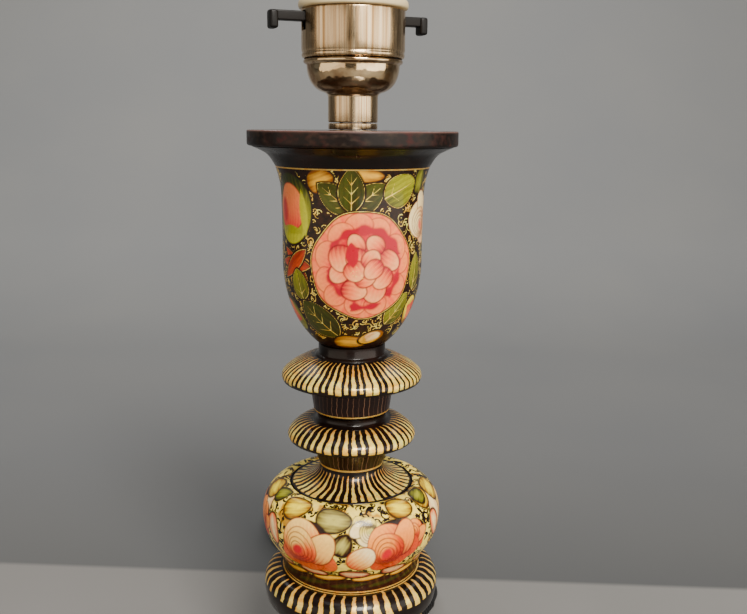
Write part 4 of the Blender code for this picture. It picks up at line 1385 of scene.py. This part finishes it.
def slab_mesh(outline, low, high, bevel):
    """A flat-topped shape from an outline in mm, with its edges rounded."""
    shape = bmesh.new()
    base = [shape.verts.new((x * MM, y * MM, low * MM)) for x, y in outline]
    face = shape.faces.new(base)
    lifted = bmesh.ops.extrude_face_region(shape, geom=[face])
    top = [item for item in lifted["geom"] if isinstance(item, bmesh.types.BMVert)]
    bmesh.ops.translate(shape, verts=top, vec=(0.0, 0.0, (high - low) * MM))
    bmesh.ops.recalc_face_normals(shape, faces=shape.faces)
    rims = [edge for edge in shape.edges
            if abs(edge.verts[0].co.z - edge.verts[1].co.z) < 1e-7]
    bmesh.ops.bevel(shape, geom=rims, offset=bevel * MM, segments=4, profile=0.5,
                    affect="EDGES")
    mesh = bpy.data.meshes.new("slab")
    shape.to_mesh(mesh)
    shape.free()
    soften(mesh)
    return mesh


def plug_outline(length, width, corner):
    """The plug from above: rounded, and narrower where the flex goes in."""
    half_l, half_w = length / 2.0, width / 2.0
    nose = half_w * 0.66
    corners = [(-half_l, -nose), (half_l, -half_w), (half_l, half_w), (-half_l, nose)]
    outline = []
    for k, (x, y) in enumerate(corners):
        before = Vector(corners[k - 1]) - Vector((x, y))
        after = Vector(corners[(k + 1) % 4]) - Vector((x, y))
        start = Vector((x, y)) + before.normalized() * corner
        end = Vector((x, y)) + after.normalized() * corner
        for t in np.linspace(0.0, 1.0, 9):
            outline.append(tuple(start * (1 - t) ** 2 + Vector((x, y)) * 2 * t * (1 - t)
                                 + end * t ** 2))
    return outline


def make_plug():
    """The plug, with its pins up, as it lies on the coil."""
    x, y = PLUG_CENTRE
    length, width = PLUG_SIZE
    body = slab_mesh(plug_outline(length, width, 9.0), COIL_TOP, PLUG_SEAM, 2.4)
    body = finished("plug_body_moulded", moved(body, (x, y, 0.0)), "plug_body",
                    "black_flex")
    grips = []
    for side in (-1.0, 1.0):
        for k in range(5):
            away = side * (width / 2.0 + 0.7 - 0.16 * (5 - k))
            grips.append(moved(block_mesh((1.1, 3.0, 6.4), 0.3, 2),
                               (x + 2.0 + 3.2 * k, y + away, COIL_TOP + 5.4)))
    boolean_cut(body, grips)
    cover = slab_mesh(plug_outline(length - 1.0, width - 1.0, 8.6), PLUG_SEAM + 0.3,
                      PLUG_TOP, 1.2)
    cover = finished("plug_cover_moulded", moved(cover, (x, y, 0.0)), "plug_cover",
                     "black_flex")
    middle = (x + 1.5, y, 0.0)
    dish = rod(4.2, PLUG_TOP - 0.5, PLUG_TOP + 2.0, 48)
    boolean_cut(cover, [moved(dish, middle)])
    made = [body, cover]
    foot, skin, insulated = PLUG_TOP + 0.3, 0.12, 9.0
    for name, size, place in (("earth", (8.0, 4.0, 22.7), (14.0, 0.0)),
                              ("live", (4.0, 6.35, 17.7), (-8.0, -11.1)),
                              ("neutral", (4.0, 6.35, 17.7), (-8.0, 11.1))):
        root = Vector((x + place[0], y + place[1], foot))
        pin = moved(block_mesh(size, 0.7, 3), root + UP * size[2] / 2.0)
        soften(pin)
        made.append(finished("plug_pin_%s_milled" % name, pin, "plug_pin_" + name, "brass"))
        if name != "earth":
            sleeve = moved(block_mesh((size[0] + skin, size[1] + skin, insulated), 0.5, 3),
                           root + UP * insulated / 2.0)
            soften(sleeve)
            made.append(finished("plug_pin_%s_sleeve" % name, sleeve, None, "black_flex"))
    head = turned([(0.0, PLUG_TOP + 1.2), (2.0, PLUG_TOP + 1.1), (2.8, PLUG_TOP + 0.8),
                   (3.0, PLUG_TOP + 0.3), (3.0, PLUG_TOP - 0.3), (0.0, PLUG_TOP - 0.3)], 48)
    screw = finished("plug_screw_slotted", moved(head, middle), "plug_screw", "zinc_steel")
    slot = moved(block_mesh((8.0, 0.9, 1.4), 0.0), (middle[0], y, PLUG_TOP + 1.2), 0.5)
    boolean_cut(screw, [slot])
    return made + [screw]


def make_coil_tie():
    """A hook-and-loop strap round the turns, with its end lying over itself."""
    inner, outer, top, thick = 26.8, 48.2, 15.9, 0.55
    turn = math.radians(STRAP_TURN)
    half = (outer - inner) / 2.0 + thick
    middle = Vector(coil_point((inner + outer) / 2.0, STRAP_TURN, 0.0))
    centre = middle + UP * (top / 2.0 + 0.3)
    loop = block_mesh((2.0 * (half + thick), 6.6, top + thick), 2.4, 5)
    band = finished("coil_tie_strap", moved(loop, centre, turn), "coil_tie", "tie")
    hollow = block_mesh((2.0 * (half - 0.3), 12.0, top - 1.0), 2.0, 5)
    boolean_cut(band, [moved(hollow, centre, turn)])
    flap = moved(block_mesh((12.0, 6.4, 0.7), 0.3, 3),
                 middle + Vector((-2.0, 0.0, top + 1.0)), turn)
    soften(flap)
    return [band, finished("coil_tie_flap", flap, None, "tie")]


# ---- pieces that keep their CAD shape ----------------------------------------
def finish_cad_nodes():
    """Gives each CAD node that is still shown a better material."""
    for material, names in (
            ("zinc_steel", ("threaded_tube", "bottom_washer", "bottom_nut", "grub_screw",
                            "live_screw", "neutral_screw", "earth_screw")),
            ("brass", ("bridge_contact", "live_terminal", "neutral_terminal",
                       "earth_tag")),
            ("black_flex", ("inner_flex",)), ("core_brown", ("live_core",)),
            ("core_blue", ("neutral_core",)), ("core_green_yellow", ("earth_core",)),
            ("fuse_ceramic", ("plug_fuse",))):
        for name in names:
            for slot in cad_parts[name].material_slots:
                slot.material = MATERIALS[material]


def make_felt():
    outline = [(0.0, 2.3), (52.6, 2.3), (53.0, 2.0), (53.0, 0.4), (52.6, 0.0), (0.0, 0.0)]
    finished("felt_pad_cut", turned(outline, RING_STEPS), "felt_pad", "felt")


make_materials()
make_camera()
make_lights()
make_stage()

relief = make_strain_relief()
tie = make_coil_tie()
plug = make_plug()
flex, flex_length = make_flex()

for make in (make_felt, make_foot, make_lower_ring, make_bulb, make_spindle, make_bell,
             make_top_disc, make_holder_cap, make_holder_shell, make_switch, make_springs,
             make_barrel, make_shade_ring, finish_cad_nodes):
    make()
